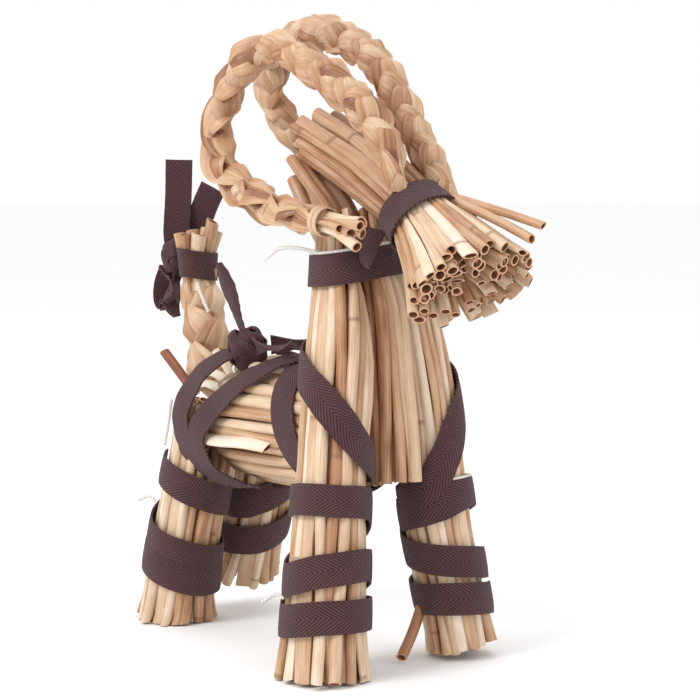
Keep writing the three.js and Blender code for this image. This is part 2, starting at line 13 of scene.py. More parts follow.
import bpy
import numpy as np
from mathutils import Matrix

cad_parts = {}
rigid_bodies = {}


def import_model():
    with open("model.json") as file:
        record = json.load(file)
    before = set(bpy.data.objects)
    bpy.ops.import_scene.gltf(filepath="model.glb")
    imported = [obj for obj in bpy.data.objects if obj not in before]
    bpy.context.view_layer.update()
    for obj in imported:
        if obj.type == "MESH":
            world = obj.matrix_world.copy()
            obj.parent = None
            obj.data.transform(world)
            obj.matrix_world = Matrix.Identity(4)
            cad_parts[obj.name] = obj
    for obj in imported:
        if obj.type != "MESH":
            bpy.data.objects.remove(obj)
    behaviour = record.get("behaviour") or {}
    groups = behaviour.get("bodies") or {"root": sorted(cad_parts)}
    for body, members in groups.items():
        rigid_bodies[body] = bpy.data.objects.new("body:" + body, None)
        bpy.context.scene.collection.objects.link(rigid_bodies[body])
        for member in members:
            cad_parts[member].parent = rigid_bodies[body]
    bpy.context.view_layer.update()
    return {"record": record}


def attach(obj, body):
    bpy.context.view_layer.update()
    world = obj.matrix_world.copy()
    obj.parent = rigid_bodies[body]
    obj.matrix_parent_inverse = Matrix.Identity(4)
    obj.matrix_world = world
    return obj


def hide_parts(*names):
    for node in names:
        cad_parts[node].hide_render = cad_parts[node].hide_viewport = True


for left_over in list(bpy.data.objects):
    bpy.data.objects.remove(left_over)
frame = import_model()

# %% [markdown]
# ## Sizes and places
#
# The CAD part was drawn from a working origin on the ground between the front feet, and then moved so
# that its origin is under the middle of its box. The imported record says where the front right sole
# went, and that gives the shift. So the bundles' sizes can be repeated here as they were drawn, in
# millimetres, and turned into metres in one place.

# %% From drawing millimetres to metres
MM = 0.001
SOLE_AS_DRAWN = np.array([1, -34.6, 0]) * MM
mounts = {mount["name"]: mount for mount in frame["record"]["mounts"]}
SHIFT = np.array(mounts["front_right_sole"]["pos_m"]) - SOLE_AS_DRAWN


def place(points):
    """Points as drawn, in millimetres, as points in metres in the goat's frame."""
    return np.asarray(points, float) * MM + SHIFT


def unit(vectors):
    """Vectors along the last axis, made one long."""
    return vectors / np.maximum(np.linalg.norm(vectors, axis=-1, keepdims=True), 1e-12)


def smooth_line(rows, share):
    """A smooth line through rows of numbers, and its slope, at shares of its length. A little before 0
    or past 1 it runs straight on."""
    rows = np.asarray(rows, float)
    share = np.atleast_1d(np.asarray(share, float))
    inside = np.clip(share, 0, 1)
    ends = np.vstack([2 * rows[0] - rows[1], rows, 2 * rows[-1] - rows[-2]])
    step = inside * (len(rows) - 1)
    first = np.minimum(step.astype(int), len(rows) - 2)
    f = (step - first)[:, None]
    a, b, c, d = (ends[first + i] for i in range(4))
    value = b + 0.5 * ((c - a) * f + (2 * a - 5 * b + 4 * c - d) * f**2 + (3 * b - a - 3 * c + d) * f**3)
    slope = 0.5 * ((c - a) + 2 * (2 * a - 5 * b + 4 * c - d) * f + 3 * (3 * b - a - 3 * c + d) * f**2)
    slope = slope * (len(rows) - 1)
    return value + slope * (share - inside)[:, None], slope


print("shift from the drawing, mm:", np.round(SHIFT / MM, 2))

# %% [markdown]
# ## Camera, floor and light
#
# The goat stands on a plain pale floor and is seen from its front right, a little from above, with a
# long lens, as a shop shows a toy. One big soft light from the viewer's left gives each straw its
# round look, and a weaker one from the right keeps the gaps from going black.

# %% Camera
LENS = 103.8  # mm, on a 36 mm sensor
heading = unit(np.array([-0.788, 0.616, 0]))
pitch = math.radians(4.56)
looking = heading * math.cos(pitch) + np.array([0, 0, -math.sin(pitch)])
camera = bpy.data.objects.new("camera", bpy.data.cameras.new("camera"))
camera.data.lens = LENS
camera.data.sensor_width = 36
camera.location = place([606.6, -495.3, 187])
bpy.context.scene.collection.objects.link(camera)


def aim(thing, direction):
    """Turns a camera or a lamp, which looks down its own -Z, to look along a direction."""
    from mathutils import Vector

    thing.rotation_euler = Vector(direction).to_track_quat("-Z", "Y").to_euler()


aim(camera, looking)
bpy.context.scene.camera = camera
bpy.context.scene.view_settings.view_transform = "Standard"

# %% Soft studio light
GOAT_MIDDLE = np.array([0, 0, 0.12])
to_camera = -heading
to_right = np.array([0.616, 0.788, 0])
up = np.array([0, 0, 1])


def soft_light(name, towards_camera, rightwards, upwards, size, watts, tint=(1, 1, 1)):
    """A square lamp beside the camera, in metres from the goat's middle, that looks at the goat."""
    lamp = bpy.data.objects.new(name, bpy.data.lights.new(name, "AREA"))
    offset = to_camera * towards_camera + to_right * rightwards + up * upwards
    lamp.location = GOAT_MIDDLE + offset
    lamp.data.size = size
    lamp.data.energy = watts
    lamp.data.color = tint
    aim(lamp, -offset)
    bpy.context.scene.collection.objects.link(lamp)


soft_light("key_light", 0.7, -0.9, 0.8, 0.5, 9)
soft_light("fill_light", 0.9, 0.9, 0.35, 0.9, 1.2)
soft_light("top_light", -0.2, 0.0, 1.3, 0.9, 2.5)
world = bpy.data.worlds.new("white_studio")
bpy.context.scene.world = world
world.use_nodes = True
world.node_tree.nodes["Background"].inputs["Color"].default_value = (1, 1, 1, 1)
world.node_tree.nodes["Background"].inputs["Strength"].default_value = 1.0

# %% [markdown]
# ## Materials
#
# Three things make up the goat. **Dried wheat straw** is a waxy yellow tube with fine grain along it,
# a darker ring at each joint and a pinkish cut edge. **Cotton herringbone tape** has diagonal ribs
# that meet in a V down its middle. **Twisted cotton string** is pale, with a rib that winds round it.
# Their patterns follow the straw or the tape, so each mesh carries its own map, in metres: along the
# first axis is the way along, and the second goes across.

# %% A node helper and a colour helper


def linear(code):
    """An sRGB hex colour as linear red, green, blue and alpha."""
    parts = [int(code[i : i + 2], 16) / 255 for i in (1, 3, 5)]
    return [c / 12.92 if c <= 0.04045 else ((c + 0.055) / 1.055) ** 2.4 for c in parts] + [1]


def add(tree, kind, links=None, **settings):
    """A new node. links gives its inputs, by name or number, either an output or a value."""
    node = tree.nodes.new(kind)
    for name, value in settings.items():
        setattr(node, name, value)
    for name, value in (links or {}).items():
        if isinstance(value, bpy.types.NodeSocket):
            tree.links.new(value, node.inputs[name])
        else:
            node.inputs[name].default_value = value
    return node


def new_material(name, roughness):
    """An empty material with its shader, ready for links."""
    material = bpy.data.materials.new(name)
    material.use_nodes = True
    tree = material.node_tree
    shader = tree.nodes["Principled BSDF"]
    shader.inputs["Roughness"].default_value = roughness
    return material, tree, shader


# %% [markdown]
# ### Dried wheat straw, cut
#
# Each straw gets its own tone, from cream to a pinkish brown, because no two stalks ripen alike. A
# map attribute called straw_tone carries it: red is the tone, green says how deep inside the hollow a
# face is, and blue is how much the straw was stained. Green also colours the hollow dark, as painted
# shade. On top come grain 0.5 mm apart along the stalk, blotches about 15 mm long, and a joint ring
# every 190 mm or so.

# %% Straw
GRAIN = 0.5 * MM
GRAIN_LENGTH = 22 * MM
BLOTCH = 7 * MM
JOINT_SPACING = 190 * MM


def make_straw_material():
    material, tree, shader = new_material("dried_wheat_straw", 0.42)
    shader.inputs["IOR"].default_value = 1.5
    shader.inputs["Coat Weight"].default_value = 0.12
    shader.inputs["Coat Roughness"].default_value = 0.35
    where = add(tree, "ShaderNodeUVMap", uv_map="way_along").outputs["UV"]
    split = add(tree, "ShaderNodeSeparateXYZ", {0: where}).outputs
    tone = add(tree, "ShaderNodeAttribute", attribute_name="straw_tone")
    tone = add(tree, "ShaderNodeSeparateColor", {0: tone.outputs["Color"]}).outputs

    # Grain: noise squeezed across the stalk and drawn out along it.
    grain_at = add(tree, "ShaderNodeVectorMath", {0: where, 1: (1 / GRAIN_LENGTH, 1 / GRAIN, 1)})
    grain_at.operation = "MULTIPLY"
    grain = add(tree, "ShaderNodeTexNoise", {"Vector": grain_at.outputs[0], "Scale": 1, "Detail": 3})
    blotch_at = add(tree, "ShaderNodeVectorMath", {0: where, 1: (0.45 / BLOTCH, 1 / BLOTCH, 1)})
    blotch_at.operation = "MULTIPLY"
    blotch = add(tree, "ShaderNodeTexNoise", {"Vector": blotch_at.outputs[0], "Scale": 1, "Detail": 2})

    # The tone of this straw, moved a little by its grain and blotches.
    fine = add(tree, "ShaderNodeMath", {0: grain.outputs[0], 1: 0.8, 2: -0.4}, operation="MULTIPLY_ADD")
    wide = add(tree, "ShaderNodeMath", {0: blotch.outputs[0], 1: 0.7, 2: -0.35}, operation="MULTIPLY_ADD")
    moved = add(tree, "ShaderNodeMath", {0: fine.outputs[0], 1: wide.outputs[0]}, operation="ADD")
    moved = add(tree, "ShaderNodeMath", {0: moved.outputs[0], 1: tone[0]}, operation="ADD")
    ramp = add(tree, "ShaderNodeValToRGB", {0: moved.outputs[0]})
    stops = [(0.0, "#815437"), (0.22, "#AB7F5A"), (0.5, "#C6A684"), (0.78, "#DAC5A9"), (1.0, "#E9DDCC")]
    while len(ramp.color_ramp.elements) < len(stops):
        ramp.color_ramp.elements.new(0.5)
    for element, (position, code) in zip(ramp.color_ramp.elements, stops):
        element.position = position
        element.color = linear(code)

    # Pinkish stain, the joint rings, the cut edge, and painted shade inside the hollow: faces deep in the
    # hollow are coloured dark brown.
    stained = add(tree, "ShaderNodeMix", data_type="RGBA", blend_type="MULTIPLY")
    tree.links.new(ramp.outputs[0], stained.inputs[6])
    stained.inputs[7].default_value = linear("#DDAE92")
    tree.links.new(tone[2], stained.inputs[0])
    turn = add(tree, "ShaderNodeMath", {0: split[0], 1: 1 / JOINT_SPACING}, operation="MULTIPLY")
    turn = add(tree, "ShaderNodeMath", {0: turn.outputs[0]}, operation="FRACT")
    ring = add(tree, "ShaderNodeMapRange", {0: turn.outputs[0], 1: 0.490, 2: 0.5},
        interpolation_type="SMOOTHSTEP")
    ring_end = add(tree, "ShaderNodeMapRange", {0: turn.outputs[0], 1: 0.5, 2: 0.506},
        interpolation_type="SMOOTHSTEP")
    ring = add(tree, "ShaderNodeMath", {0: ring.outputs[0], 1: ring_end.outputs[0]}, operation="SUBTRACT")
    ring = add(tree, "ShaderNodeMath", {0: ring.outputs[0], 1: 0.6}, operation="MULTIPLY")
    jointed = add(tree, "ShaderNodeMix", data_type="RGBA")
    tree.links.new(stained.outputs[2], jointed.inputs[6])
    jointed.inputs[7].default_value = linear("#74482C")
    tree.links.new(ring.outputs[0], jointed.inputs[0])
    edge = add(tree, "ShaderNodeMapRange", {0: tone[1], 1: 0.2, 2: 0.5})
    cut = add(tree, "ShaderNodeMix", data_type="RGBA")
    tree.links.new(edge.outputs[0], cut.inputs[0])
    tree.links.new(jointed.outputs[2], cut.inputs[6])
    cut.inputs[7].default_value = linear("#CFA17F")
    # Painted shade: faces deep in the hollow are coloured dark brown, standing in for the shade inside the
    # tube.
    deep = add(tree, "ShaderNodeMapRange", {0: tone[1], 1: 0.5, 2: 1.0})
    hollow = add(tree, "ShaderNodeMix", data_type="RGBA")
    tree.links.new(deep.outputs[0], hollow.inputs[0])
    tree.links.new(cut.outputs[2], hollow.inputs[6])
    hollow.inputs[7].default_value = linear("#946247")
    tree.links.new(hollow.outputs[2], shader.inputs["Base Color"])

    # Waxy gloss that is rougher in the grain, and a low bump.
    gloss = add(tree, "ShaderNodeMapRange", {0: grain.outputs[0], 3: 0.34, 4: 0.58})
    tree.links.new(gloss.outputs[0], shader.inputs["Roughness"])
    height = add(tree, "ShaderNodeMath", {0: blotch.outputs[0], 1: 1.6, 2: 0}, operation="MULTIPLY_ADD")
    height = add(tree, "ShaderNodeMath", {0: height.outputs[0], 1: grain.outputs[0]}, operation="ADD")
    bump = add(tree, "ShaderNodeBump", {"Height": height.outputs[0], "Strength": 0.6, "Distance": 0.18 * MM})
    tree.links.new(bump.outputs[0], shader.inputs["Normal"])
    return material


STRAW = make_straw_material()
print("made", STRAW.name)

# %% [markdown]
# ### Cotton herringbone tape
#
# Herringbone is a twill whose diagonal turns round at the middle of the tape, so its ribs make a row
# of Vs. Each rib here is 1.9 mm along the tape, and small floats every 0.6 mm cross it. The weave is
# matt, with a soft sheen from loose cotton fibre, and specks of pale lint cling to it. Its colour is
# painted lighter on the ribs and darker in the grooves: a painted highlight and painted shade.

# %% Tape
RIB = 1.9 * MM
FLOAT = 0.62 * MM
TAPE_WIDTH = 12 * MM


def make_tape_material():
    material, tree, shader = new_material("cotton_herringbone_tape", 0.88)
    shader.inputs["Sheen Weight"].default_value = 0.12
    shader.inputs["Sheen Roughness"].default_value = 0.5
    shader.inputs["Specular IOR Level"].default_value = 0.25
    where = add(tree, "ShaderNodeUVMap", uv_map="way_along").outputs["UV"]
    split = add(tree, "ShaderNodeSeparateXYZ", {0: where}).outputs

    # The ribs lean 40 degrees from the width, to one side and then to the other.
    off_middle = add(tree, "ShaderNodeMath", {0: split[1]}, operation="ABSOLUTE")
    leaning = add(tree, "ShaderNodeMath", {0: off_middle.outputs[0], 1: 1.6, 2: split[0]},
        operation="MULTIPLY_ADD")
    uneven = add(tree, "ShaderNodeTexNoise", {"Vector": where, "Scale": 380, "Detail": 2})
    leaning = add(tree, "ShaderNodeMath", {0: uneven.outputs[0], 1: 0.5 * MM, 2: leaning.outputs[0]},
        operation="MULTIPLY_ADD")
    rib = add(tree, "ShaderNodeMath", {0: leaning.outputs[0], 1: 2 * math.pi / RIB}, operation="MULTIPLY")
    rib = add(tree, "ShaderNodeMath", {0: rib.outputs[0]}, operation="SINE")
    float_at = add(tree, "ShaderNodeMath", {0: off_middle.outputs[0], 1: -1.6, 2: split[0]},
        operation="MULTIPLY_ADD")
    floats = add(tree, "ShaderNodeMath", {0: float_at.outputs[0], 1: 2 * math.pi / FLOAT},
        operation="MULTIPLY")
    floats = add(tree, "ShaderNodeMath", {0: floats.outputs[0]}, operation="SINE")
    weave = add(tree, "ShaderNodeMath", {0: floats.outputs[0], 1: 0.35, 2: rib.outputs[0]},
        operation="MULTIPLY_ADD")

    # Worn and dusty places, lint, and painted light on the weave: the ribs are coloured lighter as a painted
    # highlight and the grooves darker as painted shade.
    dust = add(tree, "ShaderNodeTexNoise", {"Vector": where, "Scale": 70, "Detail": 4})
    shade = add(tree, "ShaderNodeMapRange", {0: weave.outputs[0], 1: -1.35, 2: 1.35})
    shade = add(tree, "ShaderNodeMath", {0: dust.outputs[0], 1: 0.5, 2: shade.outputs[0]},
        operation="MULTIPLY_ADD")
    ramp = add(tree, "ShaderNodeValToRGB", {0: shade.outputs[0]})
    stops = [(0.3, "#301A1C"), (0.7, "#482A2E"), (1.0, "#5C3E40")]
    ramp.color_ramp.elements.new(0.5)
    for element, (position, code) in zip(ramp.color_ramp.elements, stops):
        element.position = min(position, 1)
        element.color = linear(code)
    lint = add(tree, "ShaderNodeTexNoise", {"Vector": where, "Scale": 900, "Detail": 1})
    lint = add(tree, "ShaderNodeMapRange", {0: lint.outputs[0], 1: 0.74, 2: 0.8, 4: 0.45})
    linted = add(tree, "ShaderNodeMix", data_type="RGBA")
    tree.links.new(lint.outputs[0], linted.inputs[0])
    tree.links.new(ramp.outputs[0], linted.inputs[6])
    linted.inputs[7].default_value = linear("#8C7472")
    tree.links.new(linted.outputs[2], shader.inputs["Base Color"])
    bump = add(tree, "ShaderNodeBump", {"Height": weave.outputs[0], "Strength": 0.8, "Distance": 0.16 * MM})
    tree.links.new(bump.outputs[0], shader.inputs["Normal"])
    return material


TAPE = make_tape_material()
print("made", TAPE.name)

# %% [markdown]
# ### Twisted cotton string
#
# String is a few yarns twisted together. The twist shows as slanting ribs, one every 1.2 mm, and the
# yarn itself is slightly fluffy, so it is matt with a pale sheen. The grooves of the twist are coloured
# darker, as painted shade.

# %% String
TWIST = 1.2 * MM


def make_string_material(name, pale, groove_shade):
    material, tree, shader = new_material(name, 0.8)
    shader.inputs["Sheen Weight"].default_value = 0.3
    where = add(tree, "ShaderNodeUVMap", uv_map="way_along").outputs["UV"]
    split = add(tree, "ShaderNodeSeparateXYZ", {0: where}).outputs
    slant = add(tree, "ShaderNodeMath", {0: split[0], 1: split[1]}, operation="ADD")
    slant = add(tree, "ShaderNodeMath", {0: slant.outputs[0], 1: 2 * math.pi / TWIST}, operation="MULTIPLY")
    yarn = add(tree, "ShaderNodeMath", {0: slant.outputs[0]}, operation="SINE")
    # Painted shade: the colour is pale on the twist's ribs and darker in its grooves.
    shade = add(tree, "ShaderNodeMapRange", {0: yarn.outputs[0], 1: -1, 2: 1})
    mixed = add(tree, "ShaderNodeMix", data_type="RGBA")
    tree.links.new(shade.outputs[0], mixed.inputs[0])
    mixed.inputs[6].default_value = linear(groove_shade)
    mixed.inputs[7].default_value = linear(pale)
    tree.links.new(mixed.outputs[2], shader.inputs["Base Color"])
    bump = add(tree, "ShaderNodeBump", {"Height": yarn.outputs[0], "Strength": 0.7, "Distance": 0.12 * MM})
    tree.links.new(bump.outputs[0], shader.inputs["Normal"])
    return material


STRING = make_string_material("twisted_white_cotton_string", "#E9E7E3", "#BDB9B3")
THREAD = make_string_material("dark_cotton_thread", "#54454A", "#2A2023")
FIBRE = make_string_material("dry_leaf_fibre", "#8C6A52", "#6B4E3C")

# %% [markdown]
# ### The floor
#
# A sheet of matt card, with a very faint unevenness so that it isn't one flat value.

# %% Floor


def make_floor():
    material, tree, shader = new_material("matt_white_card", 0.9)
    shader.inputs["Specular IOR Level"].default_value = 0.1
    where = add(tree, "ShaderNodeTexCoord").outputs["Object"]
    fibre = add(tree, "ShaderNodeTexNoise", {"Vector": where, "Scale": 3, "Detail": 3})
    mixed = add(tree, "ShaderNodeMix", data_type="RGBA")
    tree.links.new(fibre.outputs[0], mixed.inputs[0])
    mixed.inputs[6].default_value = linear("#FAFAFA")
    mixed.inputs[7].default_value = linear("#FDFDFD")
    tree.links.new(mixed.outputs[2], shader.inputs["Base Color"])
    bpy.ops.object.select_all(action="DESELECT")
    bpy.ops.mesh.primitive_plane_add(size=40, location=(0, 0, -0.0002))
    floor = bpy.context.object
    floor.name = "floor"
    bpy.ops.object.transform_apply(location=True, rotation=True, scale=True)
    floor.data.materials.append(material)


make_floor()

# %% [markdown]
# ## One straw
#
# A cut straw is a thin tube, open at both ends. One is modelled by hand, one unit long and one unit
# in radius: a cylinder whose long edges are subdivided so that it can bend, with each end face inset
# to leave the wall and then pushed in to make the hollow. All the other straws are copies of it, bent
# along their own lines and squeezed where a tie holds them.

# %% The master straw
SIDES = 10
RINGS = 13
WALL = 0.24


def model_master_straw():
    bpy.ops.object.select_all(action="DESELECT")
    bpy.ops.mesh.primitive_cylinder_add(vertices=SIDES, radius=1, depth=1, location=(0, 0, 0.5))
    straw = bpy.context.object
    bpy.ops.object.transform_apply(location=True, rotation=True, scale=True)
    bpy.ops.object.mode_set(mode="EDIT")
    bpy.ops.mesh.select_mode(type="EDGE")
    bpy.ops.mesh.select_all(action="DESELECT")
    bpy.ops.object.mode_set(mode="OBJECT")
    for edge in straw.data.edges:
        low, high = (straw.data.vertices[i].co.z for i in edge.vertices)
        edge.select = abs(low - high) > 0.5
    bpy.ops.object.mode_set(mode="EDIT")
    bpy.ops.mesh.subdivide(number_cuts=RINGS)
    bpy.ops.mesh.select_mode(type="FACE")
    for end in (0, 1):
        bpy.ops.mesh.select_all(action="DESELECT")
        bpy.ops.object.mode_set(mode="OBJECT")
        for face in straw.data.polygons:
            face.select = len(face.vertices) > 4 and abs(face.center.z - end) < 0.01
        bpy.ops.object.mode_set(mode="EDIT")
        bpy.ops.mesh.inset(thickness=WALL)
        push = 0.03 if end == 0 else -0.03
        bpy.ops.mesh.extrude_region_move(TRANSFORM_OT_translate={"value": (0, 0, push)})
    bpy.ops.object.mode_set(mode="OBJECT")
    return straw


master = model_master_straw()
MASTER_POINTS = np.array([v.co[:] for v in master.data.vertices])
MASTER_FACES = [list(face.vertices) for face in master.data.polygons]
bpy.data.objects.remove(master)
radius_of = np.hypot(MASTER_POINTS[:, 0], MASTER_POINTS[:, 1])
IN_WALL = radius_of < 0.9
HOLLOW_LOW = IN_WALL & (MASTER_POINTS[:, 2] > 0.01) & (MASTER_POINTS[:, 2] < 0.5)
HOLLOW_HIGH = IN_WALL & (MASTER_POINTS[:, 2] < 0.99) & (MASTER_POINTS[:, 2] > 0.5)
AT_LOW = MASTER_POINTS[:, 2] < 0.001
AT_HIGH = MASTER_POINTS[:, 2] > 0.999
print("one straw has", len(MASTER_FACES), "faces")

# %% [markdown]
# The map on a straw goes round it without a jump, so the angle of each corner is measured from the
# middle of its own face. The second number says where on the straw the face is: outside, on the cut
# edge, or in the hollow.

# %% The master straw's map
MASTER_TURN = []
MASTER_DEPTH = []
for face in MASTER_FACES:
    corners = MASTER_POINTS[face]
    middle = math.atan2(corners[:, 1].mean(), corners[:, 0].mean())
    flat_end = len(face) > 4
    turns = []
    for x, y, _ in corners:
        turn = 0 if flat_end else (math.atan2(y, x) - middle + math.pi) % (2 * math.pi) - math.pi
        turns.append(middle + turn)
    MASTER_TURN.append(turns)
    level = sum(IN_WALL[i] for i in face) / len(face)
    MASTER_DEPTH.append(0 if level < 0.1 else 0.5 if level < 0.9 else 1.0)


class Piece:
    """Points, faces, maps and tones of one piece while it is being made."""

    def __init__(self):
        self.points, self.faces, self.maps, self.tones = [], [], [], []
        self.count = 0

    def take(self, points, faces, maps, tones):
        self.points.append(points)
        self.faces += [[self.count + i for i in face] for face in faces]
        self.maps += maps
        self.tones += tones
        self.count += len(points)

    def finish(self, name, material, nodes, angle=50):
        """The mesh itself, riding on the goat in place of its CAD nodes."""
        mesh = bpy.data.meshes.new(name)
        mesh.from_pydata(np.vstack(self.points).tolist(), [], self.faces)
        layer = mesh.uv_layers.new(name="way_along")
        layer.data.foreach_set("uv", np.array(self.maps, np.float32).ravel())
        tone = mesh.color_attributes.new("straw_tone", "FLOAT_COLOR", "CORNER")
        tone.data.foreach_set("color", np.array(self.tones, np.float32).ravel())
        mesh.materials.append(material)
        thing = bpy.data.objects.new(name, mesh)
        bpy.context.scene.collection.objects.link(thing)
        bpy.ops.object.select_all(action="DESELECT")
        thing.select_set(True)
        bpy.context.view_layer.objects.active = thing
        bpy.ops.object.shade_smooth_by_angle(angle=math.radians(angle))
        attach(thing, "root")
        if nodes:
            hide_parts(*nodes)
        return thing


# %% [markdown]
# A line for a straw is anything that says, for shares of its length, where its middle is, which way
# is out of the bundle, and how wide and how deep the straw is there. bend_straw puts a copy of the
# master on such a line. Its ends are cut slightly askew, as with scissors.

# %% Bending a straw
HOLLOW = 7 * MM


def bend_straw(piece, line, luck, tone, stain=0.0, askew=0.35, hollow=HOLLOW):
    levels, index = np.unique(MASTER_POINTS[:, 2].round(5), return_inverse=True)
    middle, out, half_width, half_depth = line(levels)
    length = np.linalg.norm(np.diff(middle, axis=0), axis=1).sum()
    share = MASTER_POINTS[:, 2].copy()
    share[HOLLOW_LOW] = hollow / length
    share[HOLLOW_HIGH] = 1 - hollow / length
    levels, index = np.unique(share.round(5), return_inverse=True)
    middle, out, half_width, half_depth = line(levels)
    run = unit(np.gradient(middle, axis=0))
    out = unit(out - run * (out * run).sum(axis=1, keepdims=True))
    across = np.cross(run, out)
    x, y = MASTER_POINTS[:, 0], MASTER_POINTS[:, 1]
    points = middle[index]
    points = points + across[index] * (x * half_width[index])[:, None]
    points = points + out[index] * (y * half_depth[index])[:, None]
    for at_end in (AT_LOW, AT_HIGH):
        lean = luck.uniform(0, 2 * math.pi)
        slope = luck.uniform(0, askew)
        shift = (x * math.cos(lean) + y * math.sin(lean)) * slope * half_width[index]
        points = points + run[index] * np.where(at_end, shift, 0)[:, None]
    start, side = luck.uniform(0, 50), luck.uniform(0, 50)
    girth = float(half_width.mean())
    maps, tones = [], []
    for face, turns, depth in zip(MASTER_FACES, MASTER_TURN, MASTER_DEPTH):
        for i, turn in zip(face, turns):
            maps.append((start + share[i] * length, side + turn * girth))
            tones.append((tone, depth, stain, 1))
    piece.take(points, MASTER_FACES, maps, tones)
    return points


# %% [markdown]
# ## Bundles
#
# A bundle is drawn as a few stations along its middle, each with half its width and half its depth.
# Its straws lie in rings. Straws differ in thickness, wander a little sideways and bow in and out,
# which opens the dark slits that a handful of straw has, and each gets flatter where the bundle is
# tied tight. The stations repeat the CAD drawing's, apart from those of the rear left foot, the top
# of the chest, the body's rear end, the tail and the horns' roots, which are this script's own.

# %% The outside of a bundle
LEFT = np.array([0, 1, 0])


class Bundle:
    def __init__(self, stations):
        self.rows = np.array(stations, float) * MM
        self.rows[:, :3] += SHIFT
        self.shares = np.linspace(0, 1, 241)
        self.middle_line = smooth_line(self.rows[:, :3], self.shares)[0]
        self.length = np.linalg.norm(np.diff(self.middle_line, axis=0), axis=1).sum()

    def section(self, share):
        """The middle, the way along, the two ways across and the half sizes at shares of the length."""
        value, slope = smooth_line(self.rows, share)
        run = unit(slope[:, :3])
        side = unit(LEFT - run * run[:, 1:2])
        return value[:, :3], run, side, np.cross(side, run), value[:, 3], value[:, 4]

    def skin(self, share, angle, offset=0.0):
        """Points on the outside, turned by angle from the front or underside to the goat's left."""
        share, angle = np.broadcast_arrays(np.atleast_1d(share), np.atleast_1d(angle))
        middle, _, side, deep, width, depth = self.section(share)
        middle = middle + deep * ((depth + offset) * np.cos(angle))[:, None]
        return middle + side * ((width + offset) * np.sin(angle))[:, None]

    def share_at(self, axis, value):
        """The share of the length where the middle reaches a value as drawn, in millimetres."""
        return np.interp(np.asarray(value, float) * MM + SHIFT[axis], self.middle_line[:, axis], self.shares)


def ring_of_straws(piece, bundle, count, inset, span, luck, radius, jitter=(2.0, 2.0), tone=0.55,
                   wander=0.45, bow=0.5, flat=0.34, floor=None, stain=0.3, splay=(0.0, 0.0)):
    """Fills one ring of a bundle. inset is how deep its straws lie, in straw radii. span is its first and
    last share, jitter how much shorter each end may be cut, and splay how far each end may stand out, in mm."""
    weights = np.array([luck.uniform(0.8, 1.25) for _ in range(count)])
    steps = weights / weights.sum() * 2 * math.pi
    angles = np.cumsum(steps) - steps / 2
    for angle, step, weight in zip(angles, steps, weights):
        size = radius * MM * (0.55 + 0.45 * weight) * luck.uniform(0.95, 1.08)
        first = span[0] + luck.uniform(0, jitter[0]) * MM / bundle.length
        last = span[1] - luck.uniform(0, jitter[1]) * MM / bundle.length
        drift = luck.uniform(-wander, wander) * step
        phases = [luck.uniform(0, 2 * math.pi) for _ in range(4)]
        pressed = luck.random() < flat
        raised = luck.uniform(-0.5, 0.45) * MM
        waves = bundle.length / (90 * MM)
        opens = [luck.uniform(0.1, 1) * out_by * MM for out_by in splay]

        def line(levels):
            share = first + (last - first) * levels
            middle, run, side, deep, width, depth = bundle.section(share)
            sway = 0.16 * step * np.sin(share * waves * 5 + phases[0])
            at = angle + drift * (share - 0.5) * 2 + sway
            in_by = inset * radius * MM - raised
            in_by = in_by - bow * MM * np.sin(share * waves * 6 + phases[1])
            near = np.clip(1 - levels * bundle.length * (last - first) / (28 * MM), 0, 1) ** 1.5
            far = np.clip(1 - (1 - levels) * bundle.length * (last - first) / (28 * MM), 0, 1) ** 1.5
            in_by = in_by - opens[0] * near - opens[1] * far
            width = np.maximum(width - in_by, 0.12 * width)
            depth = np.maximum(depth - in_by, 0.12 * depth)
            out = unit(deep * (width * np.cos(at))[:, None] + side * (depth * np.sin(at))[:, None])
            centre = middle + deep * (depth * np.cos(at))[:, None] + side * (width * np.sin(at))[:, None]
            room = 0.56 * step * np.hypot(depth * np.sin(at), width * np.cos(at))
            swell = 1 + 0.06 * np.sin(share * waves * 9 + phases[2])
            half = np.minimum(size * (1.35 if pressed else 0.98), room * (1.25 if pressed else 0.97)) * swell
            thick = size * (0.5 if pressed else 0.95) * np.clip(half / size, 0.72, 1) ** 0.4
            return centre, out, half, thick

        shade = tone + luck.uniform(-0.3, 0.3) + (0.16 if pressed else 0)
        made = bend_straw(piece, line, luck, shade, stain * luck.random())
        if floor is not None:
            low = floor + luck.uniform(0, 0.9) * MM
            made[:, 2] = np.maximum(made[:, 2], low)


print("a bundle of straws is ready to be filled")

# %% The bundles' stations
LEG = 15
FRONT_Y = 34
REAR_Y = 18.5
REAR_X = -127
NECK = (-19, 1.5, 157)
CHEST_TOP = 178


def leg(x, y, z, spread=0.0):
    return [x, y, z, LEG + spread, LEG + spread]


front_right = Bundle([
    leg(1, -FRONT_Y - 0.6, -4, 2.6), leg(-1, -FRONT_Y + 1.6, 20, 0.8), leg(-3.5, -FRONT_Y + 4.6, 42, 0.3),
    leg(-6.5, -FRONT_Y + 8.4, 64, -0.4), [-10, -21.5, 89, 14.2, 14.6], [-13, -16.5, 115, 13.8, 14],
    [-16, -14, 138, 11.6, 13], [-19, -13.6, 157, 7.3, 11.8], [-23, -11.5, CHEST_TOP, 6.2, 9.4],
])
front_left = Bundle([
    leg(2.4, FRONT_Y, 2.4, -2.2), leg(0.6, FRONT_Y - 2.6, 20, -1.4), leg(-2.6, FRONT_Y - 5, 42, -0.7),
    leg(-6, FRONT_Y - 7.2, 64, -0.6), [-10, 27, 89, 12.6, 14.6], [-13, 25, 115, 11.4, 14],
    [-16, 22, 138, 10.2, 13], [-19, 16.6, 157, 7.3, 11.8], [-23, 14.5, CHEST_TOP, 6.2, 9.4],
])
